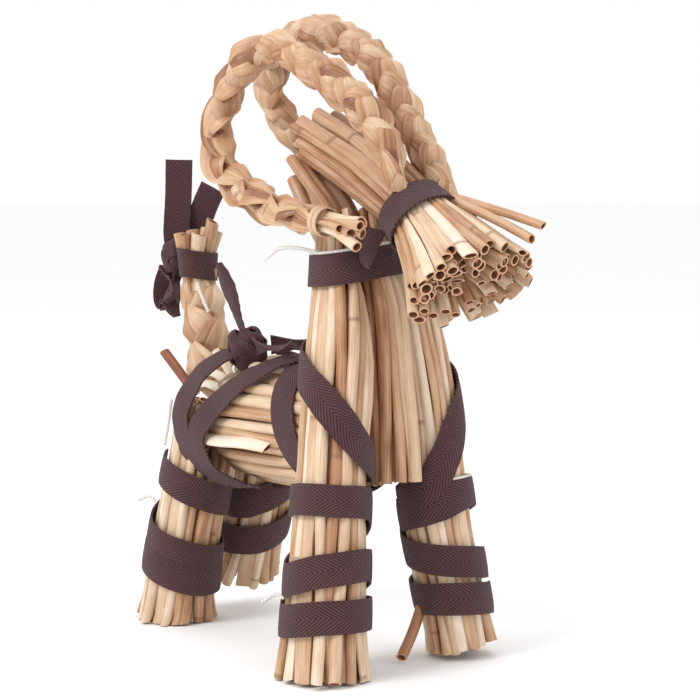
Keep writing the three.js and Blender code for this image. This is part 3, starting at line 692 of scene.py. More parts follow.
chest = Bundle([
    [-8.5, 5, 71, 12, 14], [-11.5, 5, 100, 12, 14], [-16, 5, 138, 11, 13],
    [-19, 1.5, 157, 8, 12], [-23, 1.5, CHEST_TOP, 8, 9.6],
])
rear_right = Bundle([
    leg(REAR_X - 1, -REAR_Y, -4, 1.8), leg(REAR_X + 4, -REAR_Y, 20, 0.4), leg(REAR_X + 10, -REAR_Y + 0.5,
        46, -0.2),
    leg(REAR_X + 17, -REAR_Y + 2.5, 76, -0.8), leg(REAR_X + 20, -REAR_Y + 4.5, 110, -2.4),
])
rear_left = Bundle([
    leg(REAR_X - 11, REAR_Y + 6, 13, 1), leg(REAR_X - 4, REAR_Y + 3.5, 24, 0), leg(REAR_X + 7, REAR_Y + 1,
        48, -0.2),
    leg(REAR_X + 17, REAR_Y - 1.5, 76, -0.8), leg(REAR_X + 20, REAR_Y - 4.5, 110, -2.4),
])
BODY_HEIGHT = 91
body = Bundle([[x, 0, BODY_HEIGHT, 26.5 * s, 26.5 * s] for x, s in [
    (-91, 0.93), (-85, 0.98), (-71, 1), (-46, 1), (-28, 0.94), (-18, 0.9)]])
head = Bundle([
    [-50, 1.5, 209, 16, 12.4], [-22, 1.5, 197, 16, 12], [-4, 1.5, 187.6, 15.5, 11.4],
    [14, 1.5, 177, 14.9, 11],
    [28.5, 1.5, 166, 20.5, 14.8], [43, 1.5, 153, 27, 19.5],
])

# %% [markdown]
# ### Legs and chest
#
# The front legs are long bundles that run from the foot up the neck and end under the head. Between
# them more straw fills the chest and is cut off square above the crotch. The right feet are cut level
# with the ground. The front left one is cut square to its leg, and the rear left one is shorter and
# hangs clear. Straws spread where nothing ties them any more.

# %% Legs and chest
GROUND = 0.0
FEET = [
    ("front_right_leg_straws", front_right, "front_right_leg_bundle", 4, (0.02, 1.0), True, 0.58),
    ("front_left_leg_straws", front_left, "front_left_leg_bundle", 5, (0.0, 1.0), False, 0.56),
    ("rear_right_leg_straws", rear_right, "rear_right_leg_bundle", 6, (0.03, 0.9), True, 0.5),
    ("rear_left_leg_straws", rear_left, "rear_left_leg_bundle", 7, (0.14, 0.92), False, 0.5),
]
for name, bundle, node, seed, span, on_floor, tone in FEET:
    luck = random.Random(seed)
    piece = Piece()
    floor = GROUND if on_floor else None
    foot = (0.0, 0.0) if on_floor else (2.5, 0.0)
    ring_of_straws(piece, bundle, 19, 1.0, span, luck, 2.3, foot, tone, floor=floor, splay=(3.2, 0))
    short = (span[0], span[0] + 0.55 * (1 - span[0]))
    ring_of_straws(piece, bundle, 15, 2.7, span, luck, 2.2, foot, tone - 0.1, floor=floor, splay=(2.5, 0))
    ring_of_straws(piece, bundle, 7, 4.9, short, luck, 2.2, foot, tone - 0.1, floor=floor)
    ring_of_straws(piece, bundle, 2, 6.0, short, luck, 2.1, foot, tone - 0.1, floor=floor)
    piece.finish(name, STRAW, [node])

luck = random.Random(8)
piece = Piece()
ring_of_straws(piece, chest, 13, 1.0, (0.0, 1.0), luck, 2.8, (1.5, 0), 0.36, stain=0.6)
ring_of_straws(piece, chest, 8, 3.0, (0.0, 1.0), luck, 2.4, (1.5, 0), 0.35, stain=0.5)
ring_of_straws(piece, chest, 3, 4.8, (0.0, 0.6), luck, 2.2, (1.5, 0), 0.35, stain=0.5)
piece.finish("chest_straws", STRAW, ["chest_bundle"])

# %% [markdown]
# ### The body
#
# The body is one bundle that lies level, pushed between the front legs at one end and between the rear
# legs at the other. Its straws are cut at different lengths, so the rear end is stepped and rounded.

# %% Body
luck = random.Random(21)
piece = Piece()
ring_of_straws(piece, body, 30, 1.0, (-0.13, 1.0), luck, 2.5, (9, 2), 0.6, wander=0.25, flat=0.15, stain=0.15)
ring_of_straws(piece, body, 24, 3.0, (0.0, 1.0), luck, 2.4, (6, 2), 0.5, stain=0.3)
ring_of_straws(piece, body, 18, 4.9, (-0.02, 0.8), luck, 2.4, (5, 2), 0.45)
ring_of_straws(piece, body, 11, 6.9, (-0.03, 0.5), luck, 2.4, (4, 2), 0.45)
ring_of_straws(piece, body, 5, 8.9, (-0.03, 0.5), luck, 2.4, (4, 2), 0.45)
piece.finish("body_straws", STRAW, ["body_bundle"])

# %% [markdown]
# ### The head
#
# The head is a thick bundle laid over the neck and tied at the brow. Behind the tie a few fat, smooth
# straws lie side by side. In front of it the bundle bursts open into the muzzle, where many thinner
# straws show their hollow ends, no two cut to the same length.

# %% Head and muzzle
luck = random.Random(31)
piece = Piece()
BROW = float(head.share_at(0, 14))
ring_of_straws(piece, head, 16, 1.0, (0.0, BROW + 0.04), luck, 2.9, (5, 0), 0.34, wander=0.2, bow=0.3,
    flat=0.15, stain=0.6)
ring_of_straws(piece, head, 10, 2.9, (0.0, BROW), luck, 2.7, (6, 0), 0.45)
ring_of_straws(piece, head, 4, 4.2, (0.02, BROW), luck, 2.6, (6, 0), 0.45)
muzzle = (BROW - 0.04, 1.06)
ring_of_straws(piece, head, 30, 1.0, muzzle, luck, 2.35, (0, 9), 0.58, wander=0.3, bow=0.25, flat=0.22,
    splay=(0, 3.2))
ring_of_straws(piece, head, 25, 2.9, muzzle, luck, 2.2, (0, 9), 0.5, wander=0.4, flat=0.2, splay=(0, 2.4))
ring_of_straws(piece, head, 20, 4.8, muzzle, luck, 2.1, (0, 8), 0.5, flat=0.15, splay=(0, 2))
ring_of_straws(piece, head, 14, 6.7, muzzle, luck, 2.1, (0, 7), 0.5, flat=0.15, splay=(0, 2))
ring_of_straws(piece, head, 7, 8.4, muzzle, luck, 2.1, (0, 7), 0.5)
piece.finish("head_straws", STRAW, ["head_bundle"])

# %% [markdown]
# ## Plaits
#
# A flat plait of three follows a simple rule. Each strand swings from side to side once in a pitch,
# and dips over and under twice, a third of a pitch after the strand before it. Each strand is three
# wetted, flattened straws side by side, which fold over at the edges of the plait, so the strand's
# face turns by a quarter turn and back on its way across.

# %% Plaiting
LEAF_SIDES = 8


def leaf_tube(piece, middle, out, half_width, half_depth, luck, tone, stain):
    """A flattened, closed straw along a line of points."""
    run = unit(np.gradient(middle, axis=0))
    out = unit(out - run * (out * run).sum(axis=1, keepdims=True))
    across = np.cross(run, out)
    count = len(middle)
    turns = np.arange(LEAF_SIDES) * 2 * math.pi / LEAF_SIDES
    points = (
        middle[:, None]
        + across[:, None] * (half_width[:, None] * np.cos(turns))[..., None]
        + out[:, None] * (half_depth[:, None] * np.sin(turns))[..., None]
    ).reshape(-1, 3)
    along = np.concatenate([[0], np.cumsum(np.linalg.norm(np.diff(middle, axis=0), axis=1))])
    start, side = luck.uniform(0, 50), luck.uniform(0, 50)
    faces, maps, tones = [], [], []
    for i in range(count - 1):
        for k in range(LEAF_SIDES):
            faces.append([i * LEAF_SIDES + k, i * LEAF_SIDES + (k + 1) % LEAF_SIDES,
                          (i + 1) * LEAF_SIDES + (k + 1) % LEAF_SIDES, (i + 1) * LEAF_SIDES + k])
            for row, turn in ((i, k), (i, k + 1), (i + 1, k + 1), (i + 1, k)):
                maps.append((start + along[row], side + turn * 0.8 * MM))
                tones.append((tone, 0, stain, 1))
    for row, order in ((0, -1), (count - 1, 1)):
        faces.append([row * LEAF_SIDES + k for k in range(LEAF_SIDES)][::order])
        maps += [(start, side)] * LEAF_SIDES
        tones += [(tone, 0.5, stain, 1)] * LEAF_SIDES
    piece.take(points, faces, maps, tones)


def plait(name, node, stations, pitch, strand_width, luck, lean, size, tone=0.3, straws=3, thick=0.55):
    """Three strands along the stations. pitch is the length of one turn in mm and size scales the plait, both
    given along its length. lean is the direction its flat side turns to, or the turn in degrees along it."""
    way = Bundle(stations)
    steps = int(way.length / (1.6 * MM))
    share = np.linspace(0, 1, steps)
    middle, run, side, deep, half_width, half_depth = way.section(share)
    length = np.concatenate([[0], np.cumsum(np.linalg.norm(np.diff(middle, axis=0), axis=1))])
    if isinstance(lean, np.ndarray):
        angle = np.unwrap(np.arctan2(-side @ lean, deep @ lean))[:, None]
    else:
        angle = np.radians(np.interp(share, *zip(*lean)))[:, None]
    across = side * np.cos(angle) + deep * np.sin(angle)
    face = deep * np.cos(angle) - side * np.sin(angle)
    scale = np.interp(share, *zip(*size))
    swing = (half_width - strand_width * MM * 0.36) * scale
    dip = (half_depth - thick * 2 * MM) * scale * 0.75
    wound = np.cumsum(np.gradient(length) / MM / np.interp(share, *zip(*pitch)))
    piece = Piece()
    # Two flattened straws under the strands fill the gaps in the plait; their darker tone and stain are painted
    # shade seen through the gaps.
    for step in (-0.35, 0.35):
        core = middle + across * (step * swing)[:, None]
        leaf_tube(piece, core, face, swing * 0.5, 0.28 * dip + 0.3 * MM, luck, tone - 0.3, 0.6)
    for strand in range(3):
        phase = 2 * math.pi * (wound + strand / 3)
        phase = phase + 0.22 * np.sin(length / (17 * MM) + strand * 2)
        phase = phase + 0.12 * np.sin(length / (7 * MM) + strand)
        swung = 0.35 * np.sin(phase) + 0.65 * np.arcsin(0.985 * np.sin(phase)) / (0.5 * math.pi)
        line = middle + across * (swing * swung)[:, None] + face * (dip * np.sin(2 * phase))[:, None]
        calm = np.interp(share, [0.6, 0.75], [1, 0.35])
        roll = (calm * (0.7 * np.sin(phase) + 0.12 * np.sin(2 * phase + strand)))[:, None]
        fold = 0.4 + 0.7 * np.clip(1.3 * np.abs(np.cos(phase)), 0, 1)
        out = face * np.cos(roll) + across * np.sin(roll)
        along = unit(np.gradient(line, axis=0))
        out = unit(out - along * (out * along).sum(axis=1, keepdims=True))
        beside = np.cross(along, out)
        for straw in range(straws):
            place_in = (straw - (straws - 1) / 2) / max(straws - 1, 1)
            wander = 1 + 0.25 * np.sin(length / (11 * MM) + luck.uniform(0, 6))
            off = beside * (place_in * strand_width * MM * 0.6 * scale * wander * fold)[:, None]
            lift = out * (((0.5 - abs(place_in)) * 0.7 + luck.uniform(-0.15, 0.15)) * MM * scale)[:, None]
            uneven = 1 + 0.2 * np.sin(length / (6 * MM) + luck.uniform(0, 6))
            width = strand_width * MM / straws * 0.82 * scale * fold * uneven
            depth = thick * MM * scale * (1 + 0.2 * np.sin(length / (8 * MM) + luck.uniform(0, 6)))
            leaf_tube(piece, line + off + lift, out, width, depth, luck, tone + luck.uniform(-0.2, 0.25),
                0.5 * luck.random())
    return piece.finish(name, STRAW, [node], angle=60)


# %% [markdown]
# ### Horns
#
# Both horns start under the tape at the brow, sweep up and back in a wide loop, and come forward again
# under the head, where each is tied off. The right horn's line stays a little lower than the left's,
# so one loop shows through the other.

# %% Horns
HORN = (6.8, 4.8)


def horn_line(points):
    return [[*point, *HORN] for point in points]


RIGHT_HORN = horn_line([
    [15, -10.2, 186], [13, -11.5, 200], [7, -12.5, 209.5], [0, -14, 217.5], [-12, -15, 225.5],
    [-26, -17, 234], [-43, -20, 241.5], [-56, -21.5, 242.5], [-67.5, -24, 236], [-75.5, -26.5, 224],
    [-79, -28.5, 210], [-75, -30, 199], [-63, -30.5, 189.5], [-46, -30.5, 182], [-30, -30.5, 178],
    [-16, -30, 176], [-5, -29.5, 174.6],
])
LEFT_HORN = horn_line([
    [17, 12, 184], [5, 14.5, 199.5], [-5.5, 14.5, 211.5], [-13, 14, 223], [-21, 13, 232.5],
    [-32, 12, 241], [-45, 11, 248], [-56, 10, 251], [-70, 9, 250.5], [-83, 8.5, 246.5],
    [-92, 8, 237], [-91.5, 9, 225], [-88.5, 13, 214], [-82, 19, 204.5], [-69, 26, 194],
    [-50, 31, 185.5], [-28, 33.5, 179.5], [-14, 33.5, 176.8], [-5, 33, 175.4],
])
PITCH = [(0, 44), (0.55, 46), (0.75, 60), (1, 66)]
FACING = unit(np.array([0.788, -0.616, 0.08]))  # forwards and to the goat's right
plait("right_horn", "right_horn_plait", RIGHT_HORN, PITCH, 9.0, random.Random(41), FACING,
      [(0, 0.55), (0.05, 0.7), (0.16, 1.15), (0.45, 1.15), (0.6, 1.0), (0.75, 1.05), (0.92, 0.9), (1, 0.72)])
plait("left_horn", "left_horn_plait", LEFT_HORN, PITCH, 9.0, random.Random(42), FACING,
      [(0, 0.8), (0.05, 1.0), (0.2, 1.1), (0.5, 1.15), (0.6, 1.0), (0.75, 1.0), (0.92, 0.9), (1, 0.72)])

# %% [markdown]
# ### Cut ends
#
# Past its tie a plait isn't plaited any more: the straws are round and hollow again and spread like
# the ribs of a small fan.

# %% Cut ends of the horns and the tail


def tip_stations(x, y, z, spread_y):
    return [[x - 3, y - spread_y * 0.1, z + 0.4, 4.6, 4.2], [x + 4, y + spread_y * 0.2, z - 0.6, 5.0, 4.6],
            [x + 9, y + spread_y / 2, z - 1.6, 5.6, 5], [x + 23, y + spread_y, z - 5, 8.2, 7.6]]


for name, node, stations, seed in [
    ("right_horn_cut_ends", "right_horn_tip_straws", tip_stations(-4.2, -29.3, 174.4, 2.5), 51),
    ("left_horn_cut_ends", "left_horn_tip_straws", tip_stations(-4.2, 33, 175.2, -1), 52),
]:
    luck = random.Random(seed)
    piece = Piece()
    tips = Bundle(stations)
    ring_of_straws(piece, tips, 7, 1.0, (0, 1), luck, 2.25, (1, 9), 0.45, wander=0.1, flat=0, stain=0.6)
    ring_of_straws(piece, tips, 2, 2.5, (0, 1), luck, 2.1, (1, 5), 0.4, flat=0, stain=0.6)
    piece.finish(name, STRAW, [node])

TAIL_X = REAR_X - 9
TAIL_TIE = 154
TAIL = [[TAIL_X + 12.5, 0, 100, 11, 6.5], [TAIL_X + 9, 0, 120, 11, 6.5], [TAIL_X + 3.5, 0, 136, 10, 6.2],
        [TAIL_X + 1, 0, TAIL_TIE - 2, 7.6, 5.6]]
plait("tail", "tail_plait", TAIL, [(0, 52), (1, 52)], 11.5, random.Random(43), [(0, 38), (1, 38)],
      [(0, 1.05), (0.7, 1.0), (1, 0.8)], tone=0.5, straws=3, thick=0.9)
luck = random.Random(53)
piece = Piece()
tuft = Bundle([[TAIL_X + 1.6, 0, TAIL_TIE - 12, 7.6, 5.4], [TAIL_X + 0.8, 0, TAIL_TIE - 6, 7.8, 5.6],
               [TAIL_X, 0, TAIL_TIE + 6, 8.6, 6.6], [TAIL_X + 0.5, 0, 173.5, 11.4, 9]])
ring_of_straws(piece, tuft, 7, 1.0, (0, 1), luck, 2.9, (1, 9), 0.58, wander=0.3, flat=0.1, stain=0.3,
    splay=(0, 2))
ring_of_straws(piece, tuft, 3, 2.6, (0, 1), luck, 2.4, (1, 9), 0.5, flat=0)
piece.finish("tail_cut_ends", STRAW, ["tail_tip_straws"])

# %% [markdown]
# ## Tape
#
# A flat strap is modelled directly as a strip of faces: for each step along it, a point, the way
# across and the way out. A Solidify modifier, applied, gives it its thickness. Where it goes round a
# bundle, the strip lies on the bundle's skin; where it is pulled tight round several bundles, it
# follows the smallest outline that holds them all.

# %% A strip of tape
TAPE_THICKNESS = 0.8 * MM
RAISE = 0.75 * MM  # clear of the straws under it


def strip(name, grid, nodes, luck, closed=False, curl=0.0, thickness=TAPE_THICKNESS, start=None):
    """Woven tape over a grid of points: rows along it, columns across it."""
    grid = np.asarray(grid, float)
    rows, columns = grid.shape[:2]
    if closed:
        grid = np.concatenate([grid, grid[:1]])
        rows += 1
    middle = grid[:, columns // 2]
    along = np.concatenate([[0], np.cumsum(np.linalg.norm(np.diff(middle, axis=0), axis=1))])
    across = np.linspace(-0.5, 0.5, columns) * TAPE_WIDTH
    start = luck.uniform(0, 5) if start is None else start
    faces, maps = [], []
    for i in range(rows - 1):
        for j in range(columns - 1):
            faces.append([i * columns + j, (i + 1) * columns + j, (i + 1) * columns + j + 1,
                i * columns + j + 1])
            maps += [(start + along[r], across[c]) for r,
                c in ((i, j), (i + 1, j), (i + 1, j + 1), (i, j + 1))]
    piece = Piece()
    piece.take(grid.reshape(-1, 3), faces, maps, [(0.5, 0, 0, 1)] * (4 * len(faces)))
    tape = piece.finish(name, TAPE, nodes, angle=60)
    if closed:
        bpy.ops.object.mode_set(mode="EDIT")
        bpy.ops.mesh.select_all(action="SELECT")
        bpy.ops.mesh.remove_doubles(threshold=0.02 * MM)
        bpy.ops.object.mode_set(mode="OBJECT")
    wall = tape.modifiers.new("thickness", "SOLIDIFY")
    wall.thickness = thickness
    wall.offset = 1
    bpy.ops.object.modifier_apply(modifier=wall.name)
    bpy.ops.object.shade_smooth_by_angle(angle=math.radians(60))
    return tape


def ribbon_grid(points, facing, width, columns=7, cup=0.0, ripple=0.0, phase=0.0):
    """Rows of points across a ribbon that runs through points and faces outwards."""
    run = unit(np.gradient(points, axis=0))
    facing = unit(facing - run * (facing * run).sum(axis=1, keepdims=True))
    across = np.cross(facing, run)
    width = np.broadcast_to(np.asarray(width, float), len(points))
    offsets = np.linspace(-0.5, 0.5, columns)
    steps = np.arange(len(points))[:, None]
    wave = ripple * np.sin(steps * 0.7 + phase) * (2 * np.abs(offsets)) ** 2
    drop = -cup * (2 * offsets) ** 2 + wave
    grid = points[:, None] + across[:, None] * (offsets * width[:, None])[..., None]
    return grid + facing[:, None] * drop[..., None]


print("tape is", TAPE_WIDTH / MM, "mm wide")

# %% Tape wound on a leg


def wound_tape(name, node, bundle, stops, steps, luck, raise_by=RAISE, layers=0.0):
    """Tape through stops of [degrees from the front to the left, height as drawn]."""
    share = np.linspace(0, 1, steps)
    value, slope = smooth_line(stops, share)
    turn = np.radians(value[:, 0])
    at = bundle.share_at(2, value[:, 1])
    radius = bundle.section(at)[4]
    run = unit(np.stack([np.radians(slope[:, 0]) * radius / MM, slope[:, 1]], axis=1))
    grid = []
    for offset in np.linspace(-0.5, 0.5, 7) * TAPE_WIDTH / MM:
        angle = turn - offset * MM * run[:, 1] / radius
        height = value[:, 1] + offset * run[:, 0]
        sag = 0.15 * np.sin(share * 40 + offset)
        lift = raise_by + layers * MM * share - 0.25 * MM * abs(offset / 6) ** 3
        grid.append(bundle.skin(bundle.share_at(2, height + sag), angle, lift))
    return strip(name, np.stack(grid, axis=1), [node], luck)


LEG_TAPES = {
    "front_right_leg": (front_right, [
        [-150, 66.5], [-38, 66], [50, 65], [140, 52], [232, 37], [322, 40.5], [410, 43], [500, 34],
        [592, 22.5], [682, 23.5], [770, 25.5], [815, 25.5]]),
    "front_left_leg": (front_left, [
        [-144, 58], [-48, 61], [-10, 63], [14, 64], [50, 64.5], [140, 56], [232, 46.5], [320, 40], [409,
            35], [500, 31],
        [592, 27], [680, 25], [768, 21], [775, 21]]),
    "rear_right_leg": (rear_right, [
        [-150, 66.5], [-50, 62.5], [22, 58], [140, 49], [232, 38.5], [320, 35], [376, 32], [460, 31.5],
        [592, 28.5], [684, 24], [726, 22.5], [800, 21.5]]),
    "rear_left_leg": (rear_left, [
        [60, 63.5], [6, 61.5], [-32, 57.5], [-80, 52.5], [-180, 49], [-270, 46], [-335, 43], [-392, 39.5],
        [-440, 36.5], [-500, 34]]),
}
for seed, (name, (bundle, stops)) in enumerate(LEG_TAPES.items()):
    wound_tape(name + "_tape", name + "_ribbon", bundle, stops, 150, random.Random(60 + seed), layers=1.0)
CHEST_TAPES = {
    "right_chest": (front_right, [[58, 74], [54, 79.5], [9, 86], [-29, 95.5], [-68, 106], [-126, 118.5],
        [-168, 124]]),
    "left_chest": (front_left, [[-104, 63.5], [-74, 66], [-52, 68], [-34, 72.5], [-22, 78], [-8, 84.5],
        [6, 91.5], [32, 99], [70, 107], [115, 114], [160, 121]]),
}
for seed, (name, (bundle, stops)) in enumerate(CHEST_TAPES.items()):
    wound_tape(name + "_tape", name + "_strap", bundle, stops, 70, random.Random(70 + seed), RAISE + 0.6 * MM)

# %% Tape pulled tight round bundles


def taut_outline(bundles, origin, normal, offset, count=110):
    """The smallest outline round the bundles' sections in a plane, as evenly spaced points."""
    normal = unit(np.asarray(normal, float))
    side = unit(LEFT - normal * normal[1])
    front = np.cross(side, normal)
    flat = []
    for bundle in bundles:
        shares = np.linspace(0, 1, 160)
        for angle in np.radians(np.arange(0, 360, 8)):
            line = bundle.skin(shares, angle, offset)
            level = (line - origin) @ normal
            crossing = np.nonzero(level[:-1] * level[1:] <= 0)[0]
            if len(crossing):
                i = crossing[0]
                f = level[i] / (level[i] - level[i + 1] + 1e-12)
                point = line[i] + (line[i + 1] - line[i]) * f - origin
                flat.append((float(point @ side), float(point @ front)))
    flat = sorted(set(flat))

    def chain(points):
        kept = []
        for p in points:
            while len(kept) > 1 and (kept[-1][0] - kept[-2][0]) * (p[1] - kept[-2][1]) <= (
                kept[-1][1] - kept[-2][1]) * (p[0] - kept[-2][0]):
                kept.pop()
            kept.append(p)
        return kept[:-1]

    hull = np.array(chain(flat) + chain(flat[::-1]))
    loop = np.vstack([hull, hull[:1]])
    along = np.concatenate([[0], np.cumsum(np.linalg.norm(np.diff(loop, axis=0), axis=1))])
    at = np.linspace(0, along[-1], count, endpoint=False)
    even = np.stack([np.interp(at, along, loop[:, i]) for i in (0, 1)], axis=1)
    for _ in range(6):
        even = (np.roll(even, 1, axis=0) + 2 * even + np.roll(even, -1, axis=0)) / 4
    return origin + even[:, :1] * side + even[:, 1:] * front


def tape_hoop(name, node, bundles, origin, normal, luck, raise_by=RAISE):
    normal = unit(np.asarray(normal, float))
    origin = place(origin)
    outlines = [taut_outline(bundles, origin + normal * o * TAPE_WIDTH, normal, raise_by) for o in (-0.5,
        0, 0.5)]
    columns = np.stack([smooth_line(np.stack(points), np.linspace(0, 1, 7))[0] for points in zip(*outlines)])
    grid = columns
    out = unit(grid - grid.mean(axis=(0, 1)))
    faces_out = (np.cross(grid[1] - grid[0], grid[0, -1] - grid[0, 0]) * out[0]).sum() > 0
    grid = grid if faces_out else grid[:, ::-1]
    return strip(name, grid, [node], luck, closed=True)


tape_hoop("neck_tape", "neck_ribbon", [front_right, front_left, chest], [-19, 1.5, 158],
    [-0.07, -0.12, 1], random.Random(80))
brow_tilt = head.section(BROW)[1][0] * [1, 0, 1] + [0, 0.14, 0]
tape_hoop("head_tape", "head_ribbon", [head], [14, 1.5, 177], brow_tilt, random.Random(81), RAISE + 0.3 * MM)
tape_hoop("girth_tape", "girth_ribbon", [body], [-35, 0, BODY_HEIGHT],
    [math.cos(0.384), 0, math.sin(0.384)], random.Random(82))
tape_hoop("tail_tape", "tail_ribbon", [tuft], [TAIL_X, 0, TAIL_TIE], [0.1, 0.12, 1], random.Random(83),
    0.4 * MM)

# %% [markdown]
# ### Straps, knots and free ends
#
# From a knot on the back, straps run down past both rear legs and under the body, one crosses to the
# underside, and folded links run forward to the shoulders. The two straps on the right follow points
# of their own, and leave their CAD solids' course: the crossing one runs on, well below its solid. A
# knot is tape wound over itself: here a few short bands go round a small ball in different
# directions, each lying on the one before.

# %% Straps from the knot on the back


def on_bundle(bundle, axis, value, turn, offset):
    return bundle.skin(bundle.share_at(axis, value), math.radians(turn), offset * MM)[0]


def laid_tape(name, node, points, core, luck, width=12.0, steps=70, cup=0.2, twist=0.0):
    """Tape through points that faces away from a core line, turned about itself by twist degrees."""
    share = np.linspace(0, 1, steps)
    line, slope = smooth_line(points, share)
    start, end = (place(p) for p in core)
    spine = end - start
    f = np.clip(((line - start) @ spine) / (spine @ spine), 0, 1)
    facing = unit(line - (start + f[:, None] * spine))
    run = unit(slope)
    facing = unit(facing - run * (facing * run).sum(axis=1, keepdims=True))
    angle = np.radians(np.interp(share, [0, 1], [0, twist]) if np.isscalar(twist) else np.interp(share,
        *zip(*twist)))
    facing = facing * np.cos(angle)[:, None] + np.cross(run, facing) * np.sin(angle)[:, None]
    wide = np.interp(share, *zip(*width)) if not np.isscalar(width) else np.full(steps, width)
    grid = ribbon_grid(line, facing, wide * MM, cup=cup * MM, ripple=0.12 * MM)
    return strip(name, grid, [node] if node else [], luck)


CORE = ([REAR_X + 24, 0, BODY_HEIGHT], [-18, 0, BODY_HEIGHT])
KNOT = on_bundle(body, 0, -84, -160, 4)


def rump_tape(name, node, bundle, side, low, luck):
    points = [
        on_bundle(body, 0, -86, side * 158, 3.4), on_bundle(bundle, 2, 104, side * 52, 1.8),
        on_bundle(bundle, 2, 91.5, side * 80, 1.8), on_bundle(bundle, 2, low + 9, side * 70, 1.8),
        on_bundle(bundle, 2, low, side * 32, 2.8), on_bundle(body, 0, -85, side * 22, 3.6),
        on_bundle(body, 0, -74, side * 6, 2.6),
    ]
    laid_tape(name, node, points, CORE, luck, steps=90)


laid_tape("right_rump_tape", "right_rump_strap", [place(p) for p in [
    [-84, -10, 119], [-88.5, -17.5, 117.5], [-95.5, -25, 110.5], [-102.8, -29, 98.5], [-104.2, -30.3, 90.5],
    [-101.9, -30, 82], [-99.6, -28.6, 76], [-94.5, -24, 69], [-86.4, -18, 64.6], [-78, -8, 62.5]]], CORE,
    random.Random(84), steps=90)
rump_tape("left_rump_tape", "left_rump_strap", rear_left, 1, 76, random.Random(85))
laid_tape("right_cross_tape", "right_cross_strap", [place(p) for p in [
    [-50, -6, 118.6], [-56, -12.6, 116.8], [-62, -18.4, 113], [-71, -23.7, 107], [-82.5, -27.5, 97.5],
    [-90.5, -30.5, 87.8], [-90.5, -30.4, 79], [-87, -25.5, 69.5], [-80, -16, 64]]], CORE,
    random.Random(86), width=11, steps=90)

# %% Knots


def knot_of_tape(name, node, centre, halves, luck, bands):
    """Bands of tape round a ball. Each band is (turn about z, tilt, width in mm, shift along its axis)."""
    centre = np.asarray(centre, float)
    halves = np.asarray(halves, float) * MM
    for layer, (turn, tilt, width, shift) in enumerate(bands):
        turn, tilt = math.radians(turn), math.radians(tilt)
        axis = np.array([math.cos(turn) * math.cos(tilt), math.sin(turn) * math.cos(tilt), math.sin(tilt)])
        one = unit(np.cross(axis, [0.3, 0.2, 1]))
        two = np.cross(axis, one)
        around = np.linspace(0, 2 * math.pi, 37)[:-1]
        grow = 1 + 0.09 * layer
        columns = []
        for offset in np.linspace(-0.5, 0.5, 7):
            reach = (offset * width + shift) * MM / halves.mean() / grow
            reach = max(-0.85, min(0.85, reach))
            circle = math.sqrt(1 - reach**2)
            ball = axis * reach + (one * np.cos(around)[:, None] + two * np.sin(around)[:, None]) * circle
            dent = 1 + 0.1 * np.sin(around * 3 + layer * 2 + offset * 4) + 0.07 * np.sin(around * 5 + layer)
            dent = dent + 0.16 * abs(offset) * np.cos(around * 2 + layer)
            columns.append(centre + ball * halves * grow * dent[:, None])
        grid = np.stack(columns, axis=1)
        out = grid[0, 3] - centre
        if np.dot(np.cross(grid[1, 3] - grid[0, 3], grid[0, -1] - grid[0, 0]), out) < 0:
            grid = grid[:, ::-1]
        part = name if layer == 0 else f"{name}_{layer}"
        strip(part, grid, [node], luck, closed=True, thickness=0.9 * MM)


knot_of_tape("back_knot_tape", "back_knot", KNOT + np.array([0, 0, 0.8]) * MM, [5.6, 6.0, 6.4],
    random.Random(87),
             [(10, 10, 9, 0), (75, 25, 8, 1.5), (48, -20, 6.5, 1.0), (-52, 10, 7.5, -1.5), (20, 62, 5, 2)])
laid_tape("throat_knot_tape", "throat_knot", [place(p) for p in [
    [6, -13.5, 172], [3.5, -13.5, 168], [0.5, -13.2, 163.5], [-2.5, -12.8, 158.5]]],
    ([-6, 2, 150], [-6, 2, 180]),
    random.Random(88), width=[(0, 9), (0.5, 7), (1, 9)], twist=[(0, -30), (1, 25)], cup=0.8)
TAIL_KNOT_X = TAIL_X - 16
knot_of_tape("tail_knot_tape", "tail_knot", place([TAIL_KNOT_X + 1, -1, TAIL_TIE + 3]), [4.2, 5, 6.4],
    random.Random(89),
             [(0, 70, 9, 0), (60, 30, 7, 0), (-40, -30, 7, 2), (10, 45, 6, -4)])

# %% Folded ends, loops and links


def near_knot(x, y, z):
    return KNOT + np.array([x, y, z]) * MM


laid_tape("back_knot_end", "back_knot_free_end", [
    near_knot(-1, 0, 5), near_knot(-6, -0.5, 13), near_knot(-12, 0, 23), near_knot(-21, 0, 36)],
    ([-40, 0, 110], [-60, 0, 170]), random.Random(90), width=[(0, 8), (0.3, 5.5), (0.75, 7.5), (0.9, 5),
        (1, 1.5)],
    twist=[(0, 40), (1, 100)], cup=1.2)
for seed, (side, bundle) in enumerate([(-1, front_right), (1, front_left)]):
    label = "right" if side < 0 else "left"
    shoulder = on_bundle(bundle, 2, 127, side * 172, 9)
    tied = near_knot(9, side * 4 + 2, 3)
    between = (shoulder + tied) / 2 - [0, 0, 0.0005]
    laid_tape(f"{label}_back_link_tape", f"{label}_back_link", [shoulder, between, tied], CORE,
        random.Random(91 + seed),
              width=[(0, 8), (0.3, 4.5), (0.55, 6), (0.8, 4.5), (1, 8)], twist=[(0, 70), (0.4, 0),
                  (1, 90)], cup=0.6)

TAIL_CORE = ([TAIL_X + 30, 0, 120], [TAIL_X + 30, 0, 210])


def tail_points(points):
    return [place(p) for p in points]


